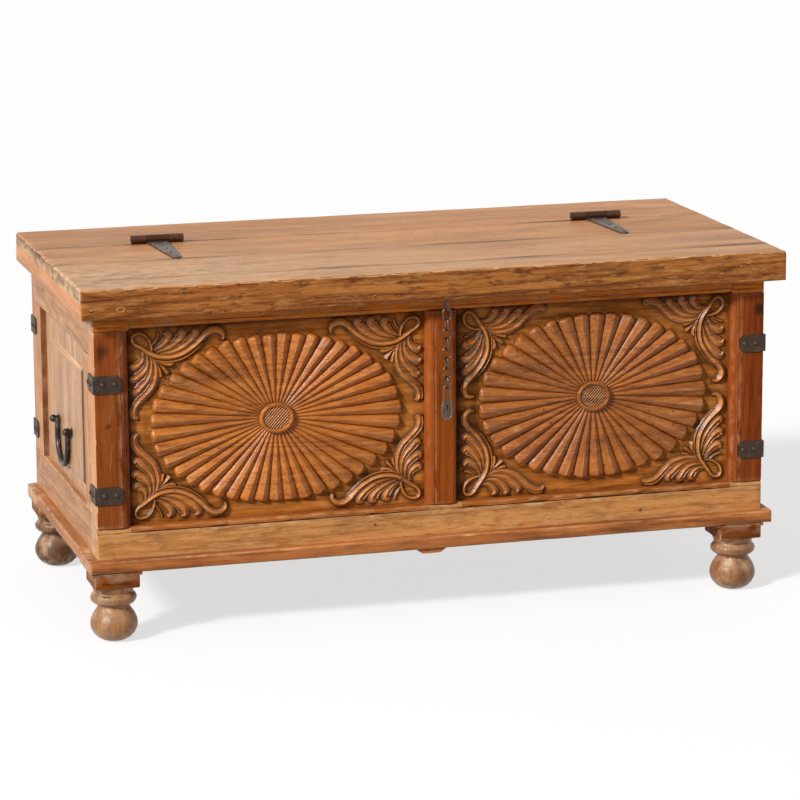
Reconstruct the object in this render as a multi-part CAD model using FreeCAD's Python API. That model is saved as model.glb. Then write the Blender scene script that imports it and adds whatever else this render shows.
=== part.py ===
import FreeCAD, Part
import math
import os

os.makedirs("parts", exist_ok=True)
Vector = FreeCAD.Vector

# Carved trunk, millimetres. +X along the length, -Y is the carved front, +Z up.
# The origin lies on the floor, under the middle of the trunk's outline.

# Carcass
body_width = 1150.0
body_depth = 540.0
carcass_height = 427.0
front_frame_thickness = 42.0
back_frame_thickness = 30.0
side_frame_thickness = 42.0
post_width = 58.0
post_return = 46.0
middle_stile_width = 58.0
middle_stile_shift = 10.0
back_stile_width = 60.0
front_top_rail_height = 49.0
front_bottom_rail_height = 51.0
rail_shoulder_drop = 2.0
side_top_rail_height = 95.0
side_bottom_rail_height = 69.0
back_rail_height = 70.0
stile_bead_radius = 13.0
rail_bead_radius = 8.0
bead_quirk = 2.0

# Panels, held loose in grooves of the frames
panel_thickness = 16.0
back_panel_thickness = 12.0
front_panel_recess = 16.0
side_panel_recess = 15.0
back_panel_recess = 9.0
groove_depth = 10.0
groove_clearance = 0.3
side_field_rise = 7.0
side_field_margin = 40.0
side_field_bevel = 8.0
side_field_foot_margin = 22.0

# Carving of the front panels
left_reed_count = 43
right_reed_count = 37
left_first_reed_share = 0.17
right_first_reed_share = 0.0
sunburst_side_margin = 36.5
sunburst_edge_margin = 21.5
reed_groove = 1.2
reed_outer_sink = 4.0
reed_inner_sink = 0.4
boss_half_width = 29.5
boss_half_height = 26.0
boss_rise = 9.0
boss_rim = 7.0
boss_hollow = 4.0
ellipse_steps = 3600

# Floor, plinth and feet
floor_thickness = 16.0
floor_board_count = 3
floor_gap = 0.5
plinth_thickness = 21.0
plinth_overhang = 15.0
plinth_width = 100.0
bearer_width = 54.0
bearer_foot_width = 31.0
bearer_height = 8.0
bearer_setback = 6.0
bearer_shift = -14.0
foot_height = 120.0
foot_side_inset = 50.0
foot_shift = -6.0
foot_front_inset = 39.5
foot_block_size = 75.0
foot_block_height = 26.5
foot_pad_overhang = 4.0
foot_pad_height = 4.5
ball_radius = 39.2
ball_center_height = 28.5
neck_radius = 26.4
neck_height = 3.0
foot_bead_radius = 38.3
foot_bead_height = 24.5
foot_bead_rise = 12.0
collar_radius = 33.9
collar_height = 8.5
spigot_radius = 12.0
spigot_length = 15.0
spigot_clearance = 0.2

# Lid and the fixed board behind it
plank_thickness = 24.0
lid_side_overhang = 25.0
lid_front_overhang = 34.0
lid_back_overhang = 4.0
lid_seat_gap = 0.3
lid_front_board_depth = 72.0
plank_gap = 0.5
fascia_height = 50.0
fascia_thickness = 28.0
fascia_rim = 8.0
lip_thickness = 22.0
lip_height = 26.0
rear_board_depth = 182.0
seam_gap = 4.0
batten_width = 60.0
batten_height = 22.0
batten_end_distance = 320.0
batten_end_gap = 8.0

# Hinges
hinge_end_distance = 206.0
hinge_shift = 5.0
barrel_length = 90.0
barrel_radius = 7.0
barrel_lift = 0.5
knuckle_length = 38.0
knuckle_gap = 0.5
pin_radius = 2.5
pin_fit = 0.05
pin_running_fit = 0.1
pin_end = 1.0
strap_length = 158.0
strap_tip_width = 15.0
strap_thickness = 3.0
leaf_plate_thickness = 2.0
leaf_plate_depth = 22.0
hinge_nail_edge = 8.0
hinge_nail_first = 20.0

# Corner irons and nails
iron_thickness = 2.5
iron_height = 29.0
iron_front_length = 44.0
iron_side_length = 40.0
iron_clip = 6.0
upper_iron_height = 431.0
lower_iron_height = 247.0
hinge_nail_head_radius = 3.4
hinge_nail_head_height = 2.0
iron_nail_head_radius = 4.8
iron_nail_head_height = 2.8
nail_shank_radius = 1.5
nail_length = 18.0
nail_clearance = 0.05
iron_nail_first = 14.0
iron_nail_second = 34.0

# Side handles
handle_rise = 93.0
handle_shift = 18.0
handle_spacing = 112.0
flange_radius = 9.0
flange_thickness = 2.0
stem_radius = 5.0
knob_radius = 6.5
knob_reach = 10.0
shank_radius = 3.0
shank_end = 3.0
bail_radius = 4.75
bail_standoff = 5.2
bail_inset = 12.0
bail_drop = 66.0
bail_stub_radius = 2.5
bail_stub_end = 1.0
bail_fit = 0.1

# Chain hasp
wire_radius = 1.75
staple_drop = 20.0
staple_grip = 20.0
staple_half_width = 6.0
link_length = 23.5
link_width = 17.0
link_gap = 0.3
link_count = 8
hasp_gap = 0.8
hasp_length = 60.0
hasp_loop_width = 16.0
hasp_plate_width = 21.0
hasp_thickness = 4.0
hasp_rim = 4.0
hasp_slot_length = 23.0
keyhole_radius = 3.2
keyhole_slot_width = 3.0
keyhole_slot_length = 8.0
keyhole_drop = 35.0

# One length that every cut runs past its faces
overrun = 2.0

# Places that follow from the sizes
plinth_bottom = foot_height
plinth_top = plinth_bottom + plinth_thickness
body_top = plinth_top + carcass_height
front_reach = body_depth / 2 + lid_front_overhang
back_reach = body_depth / 2 + plinth_overhang
body_y = (front_reach - back_reach) / 2
front_y = body_y - body_depth / 2
back_y = body_y + body_depth / 2
left_x = -body_width / 2
right_x = body_width / 2
front_opening_bottom = plinth_top + front_bottom_rail_height
front_opening_top = body_top - front_top_rail_height
side_opening_bottom = plinth_top + side_bottom_rail_height
side_opening_top = body_top - side_top_rail_height
back_opening_bottom = plinth_top + back_rail_height
back_opening_top = body_top - back_rail_height
front_frame_back = front_y + front_frame_thickness
back_frame_front = back_y - back_frame_thickness
front_ground_y = front_y + front_panel_recess
side_ground_x = left_x + side_panel_recess
field_x = side_ground_x - side_field_rise
back_ground_y = back_y - back_panel_recess
side_opening_front = front_frame_back + post_return
side_opening_back = back_frame_front - post_return
lid_end_x = body_width / 2 + lid_side_overhang
lid_front_y = front_y - lid_front_overhang
lid_back_y = back_y + lid_back_overhang
plank_bottom = body_top + lid_seat_gap
plank_top = plank_bottom + plank_thickness
seam_y = lid_back_y - rear_board_depth
lid_edge_y = seam_y - seam_gap / 2
rear_edge_y = seam_y + seam_gap / 2
hinge_z = plank_top + barrel_lift + barrel_radius
hinge_reach = lid_end_x - hinge_end_distance
hinge_places = {"left": hinge_shift - hinge_reach, "right": hinge_shift + hinge_reach}
chain_x = middle_stile_shift
chain_y = lid_front_y + fascia_thickness / 2
fascia_bottom = plank_top - fascia_height
staple_bar_z = fascia_bottom - staple_drop
link_pitch = link_length - 4 * wire_radius - link_gap
first_link_bar_z = staple_bar_z + 2 * wire_radius + link_gap
handle_y = body_y + handle_shift
handle_height = side_opening_bottom + handle_rise
pivot_x = field_x - flange_thickness - bail_standoff

along_x = Vector(1, 0, 0)
along_y = Vector(0, 1, 0)
along_z = Vector(0, 0, 1)
nodes = {}


def block(x0, x1, y0, y1, z0, z1):
    return Part.makeBox(x1 - x0, y1 - y0, z1 - z0, Vector(x0, y0, z0))


def fuse(shapes):
    return shapes[0].multiFuse(shapes[1:]).removeSplitter()


def mirrored(shape):
    return shape.mirror(Vector(0, 0, 0), along_x)


def polygon_prism(points, sweep):
    return Part.Face(Part.makePolygon(points + points[:1])).extrude(sweep)


def rod(start, direction, length, radius):
    return Part.makeCylinder(radius, length, start, direction)


def bead_cutter(edge, inward, depth, run, length, radius):
    # What is cut away to leave a quarter-round bead behind a small step along one edge
    center = edge + inward * radius + depth * (bead_quirk + radius)
    step = center - depth * radius
    foot = center - inward * radius
    middle = center - (inward + depth) * (radius / math.sqrt(2))
    outer = edge - inward * overrun - depth * overrun
    top = edge + inward * radius - depth * overrun
    side = foot - inward * overrun
    lines = [
        Part.LineSegment(outer, top).toShape(),
        Part.LineSegment(top, step).toShape(),
        Part.Arc(step, middle, foot).toShape(),
        Part.LineSegment(foot, side).toShape(),
        Part.LineSegment(side, outer).toShape(),
    ]
    return Part.Face(Part.Wire(lines)).extrude(run * length)


def domed_nail(seat, direction, head_radius, head_height):
    # Shank and domed head of one nail, with the head's flat side on its seat
    head = Vector(head_radius, 0, 0)
    crown = Vector(0, 0, head_height)
    ball = (head_radius ** 2 + head_height ** 2) / (2 * head_height)
    lean = math.asin(head_radius / ball) / 2
    middle = Vector(ball * math.sin(lean), 0, head_height - ball + ball * math.cos(lean))
    tip = Vector(0, 0, -nail_length)
    outline = [
        Part.LineSegment(tip, tip + along_x * nail_shank_radius).toShape(),
        Part.LineSegment(tip + along_x * nail_shank_radius, along_x * nail_shank_radius).toShape(),
        Part.LineSegment(along_x * nail_shank_radius, head).toShape(),
        Part.Arc(head, middle, crown).toShape(),
        Part.LineSegment(crown, tip).toShape(),
    ]
    nail = Part.Face(Part.Wire(outline)).revolve(Vector(0, 0, 0), along_z, 360)
    nail.Placement = FreeCAD.Placement(seat, FreeCAD.Rotation(along_z, direction))
    return nail


def nail_hole(seat, direction):
    start = seat + direction * overrun
    return rod(start, -direction, overrun + nail_length + nail_clearance, nail_shank_radius + nail_clearance)


# Panel spaces: the opening, and the pocket that its panel needs in the frame around it
middle_left = middle_stile_shift - middle_stile_width / 2
middle_right = middle_stile_shift + middle_stile_width / 2
front_openings = {
    "left": (left_x + post_width, middle_left),
    "right": (middle_right, right_x - post_width),
}
back_openings = {
    "left": (left_x + post_width, -back_stile_width / 2),
    "right": (back_stile_width / 2, right_x - post_width),
}


def front_panel_block(side, reach, slack):
    x0, x1 = front_openings[side]
    return block(x0 - reach, x1 + reach, front_ground_y - slack, front_ground_y + panel_thickness + slack,
                 front_opening_bottom - reach, front_opening_top + reach)


def back_panel_block(side, reach, slack):
    x0, x1 = back_openings[side]
    return block(x0 - reach, x1 + reach, back_ground_y - back_panel_thickness - slack, back_ground_y + slack,
                 back_opening_bottom - reach, back_opening_top + reach)


def side_panel_block(reach, slack):
    return block(side_ground_x - slack, side_ground_x + panel_thickness + slack,
                 side_opening_front - reach, side_opening_back + reach,
                 side_opening_bottom - reach, side_opening_top + reach)


panel_reach = groove_depth - groove_clearance
front_pockets = [front_panel_block(side, groove_depth, groove_clearance) for side in front_openings]
back_pockets = [back_panel_block(side, groove_depth, groove_clearance) for side in back_openings]
side_pocket = side_panel_block(groove_depth, groove_clearance)

# Corner irons: two legs round the arris of a post, their free corners clipped
iron_places = []
for height in (upper_iron_height, lower_iron_height):
    iron_places.append((front_y, -1, height))
    iron_places.append((back_y, 1, height))


def clipped_leg(corner, out, thickness, length):
    low = corner - along_z * (iron_height / 2)
    high = corner + along_z * (iron_height / 2)
    points = [
        low,
        low + out * (length - iron_clip),
        low + out * length + along_z * iron_clip,
        high + out * length - along_z * iron_clip,
        high + out * (length - iron_clip),
        high,
    ]
    return polygon_prism(points, thickness)


def left_iron(face_y, outward, height):
    arris = Vector(left_x - iron_thickness, face_y + outward * iron_thickness, height)
    front_leg = clipped_leg(arris, along_x, along_y * (-outward * iron_thickness),
                            iron_front_length + iron_thickness)
    side_leg = clipped_leg(arris, along_y * -outward, along_x * iron_thickness,
                           iron_side_length + iron_thickness)
    return fuse([front_leg, side_leg])


def left_iron_nails(face_y, outward, height):
    nails = []
    for reach in (iron_nail_first, iron_nail_second):
        front_seat = Vector(left_x + reach, face_y + outward * iron_thickness, height)
        side_seat = Vector(left_x - iron_thickness, face_y - outward * reach, height)
        nails.append((front_seat, along_y * outward))
        nails.append((side_seat, along_x * -1))
    return nails


left_nails = [nail for place in iron_places for nail in left_iron_nails(*place)]
left_nail_holes = [nail_hole(seat, direction) for seat, direction in left_nails]
left_irons = [left_iron(*place).cut(left_nail_holes) for place in iron_places]
nodes["corner_irons"] = Part.makeCompound(left_irons + [mirrored(iron) for iron in left_irons])
left_nail_solids = [
    domed_nail(seat, direction, iron_nail_head_radius, iron_nail_head_height)
    for seat, direction in left_nails
]
nodes["corner_iron_nails"] = Part.makeCompound(left_nail_solids + [mirrored(nail) for nail in left_nail_solids])

# Corner posts: the front part stands between the front rails, the return between the side rails
post_inner_x = left_x + post_width
front_post = fuse([
    block(left_x, post_inner_x, front_y, front_frame_back,
          front_opening_bottom, front_opening_top - rail_shoulder_drop),
    block(left_x, post_inner_x, front_frame_back, side_opening_front, side_opening_bottom, side_opening_top),
])
post_bead = bead_cutter(Vector(post_inner_x, front_y, front_opening_bottom - overrun), along_x * -1, along_y,
                        along_z, front_opening_top - front_opening_bottom + 2 * overrun, stile_bead_radius)
front_post = front_post.cut(front_pockets + [side_pocket, post_bead] + left_nail_holes)
back_post = fuse([
    block(left_x, post_inner_x, back_frame_front, back_y, back_opening_bottom, back_opening_top),
    block(left_x, post_inner_x, side_opening_back, back_frame_front, side_opening_bottom, side_opening_top),
])
back_post = back_post.cut(back_pockets + [side_pocket] + left_nail_holes)
nodes["front_left_post"] = front_post
nodes["front_right_post"] = mirrored(front_post)
nodes["back_left_post"] = back_post
nodes["back_right_post"] = mirrored(back_post)


# Front frame
def rail_beads(edge_z, inward):
    beads = []
    for x0, x1 in front_openings.values():
        edge = Vector(x0, front_y, edge_z)
        beads.append(bead_cutter(edge, inward, along_y, along_x, x1 - x0, rail_bead_radius))
    return beads


front_top_rail = fuse([
    block(left_x, right_x, front_y, front_frame_back, front_opening_top, body_top),
    block(left_x, post_inner_x, front_y, front_frame_back,
          front_opening_top - rail_shoulder_drop, front_opening_top),
    block(-post_inner_x, right_x, front_y, front_frame_back,
          front_opening_top - rail_shoulder_drop, front_opening_top),
])
nodes["front_top_rail"] = front_top_rail.cut(front_pockets + rail_beads(front_opening_top, along_z))
front_bottom_rail = block(left_x, right_x, front_y, front_frame_back, plinth_top, front_opening_bottom)
nodes["front_bottom_rail"] = front_bottom_rail.cut(front_pockets + rail_beads(front_opening_bottom, along_z * -1))
middle_stile = block(middle_left, middle_right, front_y, front_frame_back, front_opening_bottom, front_opening_top)
stile_run = front_opening_top - front_opening_bottom + 2 * overrun
stile_beads = [
    bead_cutter(Vector(middle_left, front_y, front_opening_bottom - overrun), along_x, along_y,
                along_z, stile_run, stile_bead_radius),
    bead_cutter(Vector(middle_right, front_y, front_opening_bottom - overrun), along_x * -1, along_y,
                along_z, stile_run, stile_bead_radius),
]
nodes["front_middle_stile"] = middle_stile.cut(front_pockets + stile_beads)


# Carved front panels
def even_ellipse_places(half_width, half_height, count, first_share):
    # Parameters of points that are evenly spaced along the ellipse, and the spacing
    lengths = [0.0]
    for step in range(ellipse_steps):
        turn = 2 * math.pi * (step + 1 / 2) / ellipse_steps
        speed = math.hypot(half_width * math.sin(turn), half_height * math.cos(turn))
        lengths.append(lengths[-1] + speed * 2 * math.pi / ellipse_steps)
    spacing = lengths[-1] / count
    turns = []
    step = 0
    for reed in range(count):
        while lengths[step + 1] < (reed + first_share) * spacing:
            step += 1
        turns.append(2 * math.pi * (step + 1 / 2) / ellipse_steps)
    return turns, spacing


def reed(inner, end, inner_radius, outer_radius):
    # A tapered round bar with a domed end, turned about its own axis
    ray = (end - inner).normalize()
    side = (along_y - ray * along_y.dot(ray)).normalize()
    tip = end + ray * outer_radius
    dome = end + (ray + side) * (outer_radius / math.sqrt(2))
    outline = [
        Part.LineSegment(inner, inner + side * inner_radius).toShape(),
        Part.LineSegment(inner + side * inner_radius, end + side * outer_radius).toShape(),
        Part.Arc(end + side * outer_radius, dome, tip).toShape(),
        Part.LineSegment(tip, inner).toShape(),
    ]
    return Part.Face(Part.Wire(outline)).revolve(inner, ray, 360)


def sunburst(half_width, half_height, count, first_share):
    # Reeds round the origin, with the ground of the panel at zero
    turns, spacing = even_ellipse_places(half_width, half_height, count, first_share)
    start_width = boss_half_width - boss_rim / 2
    start_height = boss_half_height - boss_rim / 2
    inner_spacing = spacing * (start_width + start_height) / (half_width + half_height)
    inner_radius = (inner_spacing - reed_groove) / 2
    reeds = []
    for turn in turns:
        inner = Vector(start_width * math.cos(turn), reed_inner_sink, start_height * math.sin(turn))
        outer = Vector(half_width * math.cos(turn), reed_outer_sink, half_height * math.sin(turn))
        ray = (outer - inner).normalize()
        tangent = Vector(-half_width * math.sin(turn), 0, half_height * math.cos(turn)).normalize()
        outer_radius = (spacing * ray.cross(tangent).Length - reed_groove) / 2
        reeds.append(reed(inner, outer - ray * outer_radius, inner_radius, outer_radius))
    return reeds


def ellipse_disc(rise, half_width, half_height, thickness):
    center = along_y * -rise
    ring = Part.Ellipse(center + along_x * half_width, center + along_z * half_height, center)
    return Part.Face(Part.Wire(ring.toShape())).extrude(along_y * thickness)


def carved_panel(side, reed_count, first_reed_share):
    # Carved round the origin, then moved to the middle of its opening
    x0, x1 = front_openings[side]
    center = Vector((x0 + x1) / 2, front_ground_y, (front_opening_bottom + front_opening_top) / 2)
    half_width = (x1 - x0) / 2 - sunburst_side_margin
    half_height = (front_opening_top - front_opening_bottom) / 2 - sunburst_edge_margin
    board = front_panel_block(side, panel_reach, 0).translated(center * -1)
    reeds = sunburst(half_width, half_height, reed_count, first_reed_share)
    boss = ellipse_disc(boss_rise, boss_half_width, boss_half_height, boss_rise + panel_thickness / 2)
    hollow = ellipse_disc(boss_rise + overrun, boss_half_width - boss_rim, boss_half_height - boss_rim,
                          boss_hollow + overrun)
    carved = board.fuse(boss).cut(hollow).multiFuse(reeds[0::2]).multiFuse(reeds[1::2])
    return carved.translated(center)


nodes["front_left_panel"] = carved_panel("left", left_reed_count, left_first_reed_share)
nodes["front_right_panel"] = carved_panel("right", right_reed_count, right_first_reed_share)

# Sides: two rails and a panel with a raised field on which the handle sits
left_bottom_rail = block(left_x, left_x + side_frame_thickness, front_frame_back, back_frame_front,
                         plinth_top, side_opening_bottom)
left_top_rail = block(left_x, left_x + side_frame_thickness, front_frame_back, back_frame_front,
                      side_opening_top, body_top)
side_run = side_opening_back - side_opening_front
side_edge = Vector(left_x, side_opening_front, side_opening_top)
top_bead = bead_cutter(side_edge, along_z, along_x, along_y, side_run, rail_bead_radius)
side_edge = Vector(left_x, side_opening_front, side_opening_bottom)
bottom_bead = bead_cutter(side_edge, along_z * -1, along_x, along_y, side_run, rail_bead_radius)
left_top_rail = left_top_rail.cut([side_pocket, top_bead])
left_bottom_rail = left_bottom_rail.cut([side_pocket, bottom_bead])


def field_outline(x, inset):
    y0 = side_opening_front + side_field_margin + inset
    y1 = side_opening_back - side_field_margin - inset
    z0 = side_opening_bottom + side_field_foot_margin + inset
    z1 = side_opening_top - side_field_margin - inset
    return Part.makePolygon([Vector(x, y0, z0), Vector(x, y1, z0), Vector(x, y1, z1), Vector(x, y0, z1),
                             Vector(x, y0, z0)])


raised_field = Part.makeLoft([field_outline(side_ground_x, 0), field_outline(field_x, side_field_bevel)], True, True)
left_panel = fuse([side_panel_block(panel_reach, 0), raised_field])
handle_seats = [Vector(field_x, handle_y + end * handle_spacing / 2, handle_height) for end in (-1, 1)]
shank_length = side_field_rise + panel_thickness + shank_end
shank_holes = []
for seat in handle_seats:
    shank_holes.append(rod(seat - along_x * overrun, along_x, shank_length + overrun, shank_radius + bail_fit))
left_panel = left_panel.cut(shank_holes)
for name, shape in (("top_rail", left_top_rail), ("bottom_rail", left_bottom_rail), ("panel", left_panel)):
    nodes["left_" + name] = shape
    nodes["right_" + name] = mirrored(shape)

# Back frame
back_top_rail = block(left_x, right_x, back_frame_front, back_y, back_opening_top, body_top)
back_bottom_rail = block(left_x, right_x, back_frame_front, back_y, plinth_top, back_opening_bottom)
back_stile = block(-back_stile_width / 2, back_stile_width / 2, back_frame_front, back_y,
                   back_opening_bottom, back_opening_top)
nodes["back_top_rail"] = back_top_rail.cut(back_pockets)
nodes["back_bottom_rail"] = back_bottom_rail.cut(back_pockets)
nodes["back_middle_stile"] = back_stile.cut(back_pockets)
nodes["back_left_panel"] = back_panel_block("left", panel_reach, 0)
nodes["back_right_panel"] = back_panel_block("right", panel_reach, 0)

# Floor boards, laid on the plinth between the bottom rails
floor_x = body_width / 2 - side_frame_thickness
floor_depth = back_frame_front - front_frame_back
floor_boards = []
for board in range(floor_board_count):
    y0 = front_frame_back + board * floor_depth / floor_board_count + floor_gap / 2
    y1 = front_frame_back + (board + 1) * floor_depth / floor_board_count - floor_gap / 2
    floor_boards.append(block(-floor_x, floor_x, y0, y1, plinth_top, plinth_top + floor_thickness))
nodes["floor_boards"] = Part.makeCompound(floor_boards)

# Plinth frame, bored for the spigots of the feet
plinth_x = body_width / 2 + plinth_overhang
plinth_front_y = front_y - plinth_overhang
plinth_back_y = back_y + plinth_overhang
foot_x = plinth_x - foot_side_inset
foot_places = {
    "front_left_foot": Vector(foot_shift - foot_x, plinth_front_y + foot_front_inset, 0),
    "front_right_foot": Vector(foot_shift + foot_x, plinth_front_y + foot_front_inset, 0),
    "back_left_foot": Vector(foot_shift - foot_x, plinth_back_y - foot_front_inset, 0),
    "back_right_foot": Vector(foot_shift + foot_x, plinth_back_y - foot_front_inset, 0),
}
spigot_holes = []
for place in foot_places.values():
    start = place + along_z * (plinth_bottom - overrun)
    spigot_holes.append(rod(start, along_z, overrun + spigot_length + spigot_clearance,
                            spigot_radius + spigot_clearance))
inner_front = plinth_front_y + plinth_width
inner_back = plinth_back_y - plinth_width
plinth_boards = {
    "plinth_front": block(-plinth_x, plinth_x, plinth_front_y, inner_front, plinth_bottom, plinth_top),
    "plinth_back": block(-plinth_x, plinth_x, inner_back, plinth_back_y, plinth_bottom, plinth_top),
    "plinth_left": block(-plinth_x, plinth_width - plinth_x, inner_front, inner_back, plinth_bottom, plinth_top),
    "plinth_right": block(plinth_x - plinth_width, plinth_x, inner_front, inner_back, plinth_bottom, plinth_top),
}
for name, board in plinth_boards.items():
    nodes[name] = board.cut(spigot_holes)
bearer_y = plinth_front_y + bearer_setback
bearer_low = plinth_bottom - bearer_height
bearer_outline = [
    Vector(bearer_shift - bearer_width / 2, bearer_y, plinth_bottom),
    Vector(bearer_shift - bearer_foot_width / 2, bearer_y, bearer_low),
    Vector(bearer_shift + bearer_foot_width / 2, bearer_y, bearer_low),
    Vector(bearer_shift + bearer_width / 2, bearer_y, plinth_bottom),
]
nodes["center_bearer"] = polygon_prism(bearer_outline, along_y * (plinth_back_y - bearer_setback - bearer_y))


# Feet: a ball cut flat below, a neck, a bead and a collar turned under a square block
def turned_foot():
    # The turning is stretched evenly to fill the height under the block
    block_bottom = foot_height - foot_block_height
    flat_radius = math.sqrt(ball_radius ** 2 - ball_center_height ** 2)
    neck_low = ball_center_height + math.sqrt(ball_radius ** 2 - neck_radius ** 2)
    neck_high = neck_low + neck_height
    collar_low = neck_high + foot_bead_height
    stretch = block_bottom / (collar_low + collar_height)
    points = [
        Vector(0, 0, 0),
        Vector(flat_radius, 0, 0),
        Vector(neck_radius, 0, neck_low * stretch),
        Vector(neck_radius, 0, neck_high * stretch),
        Vector(collar_radius, 0, collar_low * stretch),
        Vector(collar_radius, 0, block_bottom),
        Vector(0, 0, block_bottom),
    ]
    belly = Vector(ball_radius, 0, ball_center_height * stretch)
    bead = Vector(foot_bead_radius, 0, (neck_high + foot_bead_rise) * stretch)
    outline = [
        Part.LineSegment(points[0], points[1]).toShape(),
        Part.Arc(points[1], belly, points[2]).toShape(),
        Part.LineSegment(points[2], points[3]).toShape(),
        Part.Arc(points[3], bead, points[4]).toShape(),
        Part.LineSegment(points[4], points[5]).toShape(),
        Part.LineSegment(points[5], points[6]).toShape(),
        Part.LineSegment(points[6], points[0]).toShape(),
    ]
    turned = Part.Face(Part.Wire(outline)).revolve(Vector(0, 0, 0), along_z, 360)
    half = foot_block_size / 2
    pad = half + foot_pad_overhang
    return fuse([
        turned,
        block(-half, half, -half, half, block_bottom, foot_height),
        block(-pad, pad, -half, half, foot_height - foot_pad_height, foot_height),
        rod(Vector(0, 0, block_bottom), along_z, foot_block_height + spigot_length, spigot_radius),
    ])


foot = turned_foot()
for name, place in foot_places.items():
    nodes[name] = foot.translated(place)

# Hinges: strap with the middle knuckle on the lid, leaf with the outer knuckles in the seam
hinge_nails = []
strap_nail_shares = (0.48, 0.68)


def hinge_pieces(center_x):
    axis_start = Vector(center_x - barrel_length / 2, seam_y, hinge_z)
    half_knuckle = knuckle_length / 2
    tip_radius = strap_tip_width / 2
    tip_y = seam_y - strap_length + tip_radius
    plate_outline = [
        Vector(center_x - half_knuckle, seam_y, plank_top),
        Vector(center_x + half_knuckle, seam_y, plank_top),
        Vector(center_x + tip_radius, tip_y, plank_top),
        Vector(center_x - tip_radius, tip_y, plank_top),
    ]
    strap = fuse([
        polygon_prism(plate_outline, along_z * strap_thickness),
        rod(Vector(center_x, tip_y, plank_top), along_z, strap_thickness, tip_radius),
        rod(Vector(center_x - half_knuckle, seam_y, hinge_z), along_x, knuckle_length, barrel_radius),
    ])
    bore = rod(axis_start - along_x * overrun, along_x, barrel_length + 2 * overrun, pin_radius + pin_running_fit)
    seats = [
        Vector(center_x - half_knuckle + hinge_nail_edge, seam_y - hinge_nail_first, plank_top + strap_thickness),
        Vector(center_x + half_knuckle - hinge_nail_edge, seam_y - hinge_nail_first, plank_top + strap_thickness),
        Vector(center_x, tip_y, plank_top + strap_thickness),
    ]
    for share in strap_nail_shares:
        seats.append(Vector(center_x, seam_y - share * strap_length, plank_top + strap_thickness))
    strap = strap.cut([bore] + [nail_hole(seat, along_z) for seat in seats])
    hinge_nails.extend(seats)
    outer_length = (barrel_length - knuckle_length) / 2 - knuckle_gap
    plate_top = hinge_z - barrel_radius + (barrel_radius - pin_radius) / 2
    plate_low = plank_top - leaf_plate_depth
    leaf = fuse([
        rod(axis_start, along_x, outer_length, barrel_radius),
        rod(axis_start + along_x * (barrel_length - outer_length), along_x, outer_length, barrel_radius),
        block(axis_start.x, axis_start.x + barrel_length, rear_edge_y - leaf_plate_thickness, rear_edge_y,
              plate_low, plate_top),
    ])
    notch = block(axis_start.x + outer_length, axis_start.x + barrel_length - outer_length,
                  seam_y - barrel_radius, seam_y + barrel_radius, plank_top - barrel_lift, hinge_z)
    leaf_bore = rod(axis_start - along_x * overrun, along_x, barrel_length + 2 * overrun, pin_radius + pin_fit)
    leaf = leaf.cut([notch, leaf_bore])
    pin = rod(axis_start - along_x * pin_end, along_x, barrel_length + 2 * pin_end, pin_radius)
    return strap, leaf, pin


hinge_pins = []
for side, center_x in hinge_places.items():
    strap, leaf, pin = hinge_pieces(center_x)
    nodes[side + "_hinge_strap"] = strap
    nodes[side + "_hinge_leaf"] = leaf
    hinge_pins.append(pin)
nodes["hinge_pins"] = Part.makeCompound(hinge_pins)
hinge_nail_solids = [domed_nail(seat, along_z, hinge_nail_head_radius, hinge_nail_head_height) for seat in hinge_nails]
nodes["hinge_nails"] = Part.makeCompound(hinge_nail_solids)
hinge_nail_holes = [nail_hole(seat, along_z) for seat in hinge_nails]

# Lid: a rebated front board with the planks behind it, end lips below and two battens inside
first_plank_y = lid_front_y + fascia_rim
second_plank_y = first_plank_y + lid_front_board_depth
third_plank_y = (second_plank_y + lid_edge_y) / 2
plank_runs = {
    "lid_front_board": (first_plank_y, second_plank_y - plank_gap),
    "lid_middle_board": (second_plank_y, third_plank_y - plank_gap),
    "lid_back_board": (third_plank_y, lid_edge_y),
}
for name, (y0, y1) in plank_runs.items():
    plank = block(-lid_end_x, lid_end_x, y0, y1, plank_bottom, plank_top)
    nodes[name] = plank.cut(hinge_nail_holes)
fascia = fuse([
    block(-lid_end_x, lid_end_x, lid_front_y, lid_front_y + fascia_thickness, fascia_bottom, plank_bottom),
    block(-lid_end_x, lid_end_x, lid_front_y, first_plank_y, fascia_bottom, plank_top),
])
staple_legs = [Vector(chain_x, chain_y + end * staple_half_width, fascia_bottom) for end in (-1, 1)]
leg_holes = []
for leg in staple_legs:
    leg_holes.append(rod(leg - along_z * overrun, along_z, overrun + staple_grip + nail_clearance,
                         wire_radius + nail_clearance))
nodes["lid_fascia"] = fascia.cut(leg_holes)
lip_low = plank_bottom - lip_height
left_lip = block(-lid_end_x, lip_thickness - lid_end_x, lid_front_y + fascia_thickness, lid_edge_y,
                 lip_low, plank_bottom)
nodes["lid_left_lip"] = left_lip
nodes["lid_right_lip"] = mirrored(left_lip)
batten_front = front_frame_back + batten_end_gap
batten_back = lid_edge_y - batten_end_gap
battens = []
for end in (-1, 1):
    x0 = end * (lid_end_x - batten_end_distance) - batten_width / 2
    battens.append(block(x0, x0 + batten_width, batten_front, batten_back, plank_bottom - batten_height, plank_bottom))
nodes["lid_battens"] = Part.makeCompound(battens)
nodes["rear_top_board"] = block(-lid_end_x, lid_end_x, rear_edge_y, lid_back_y, body_top, body_top + plank_thickness)
rear_lip = block(-lid_end_x, lip_thickness - lid_end_x, rear_edge_y, lid_back_y, body_top - lip_height, body_top)
nodes["rear_top_lips"] = Part.makeCompound([rear_lip, mirrored(rear_lip)])


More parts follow.
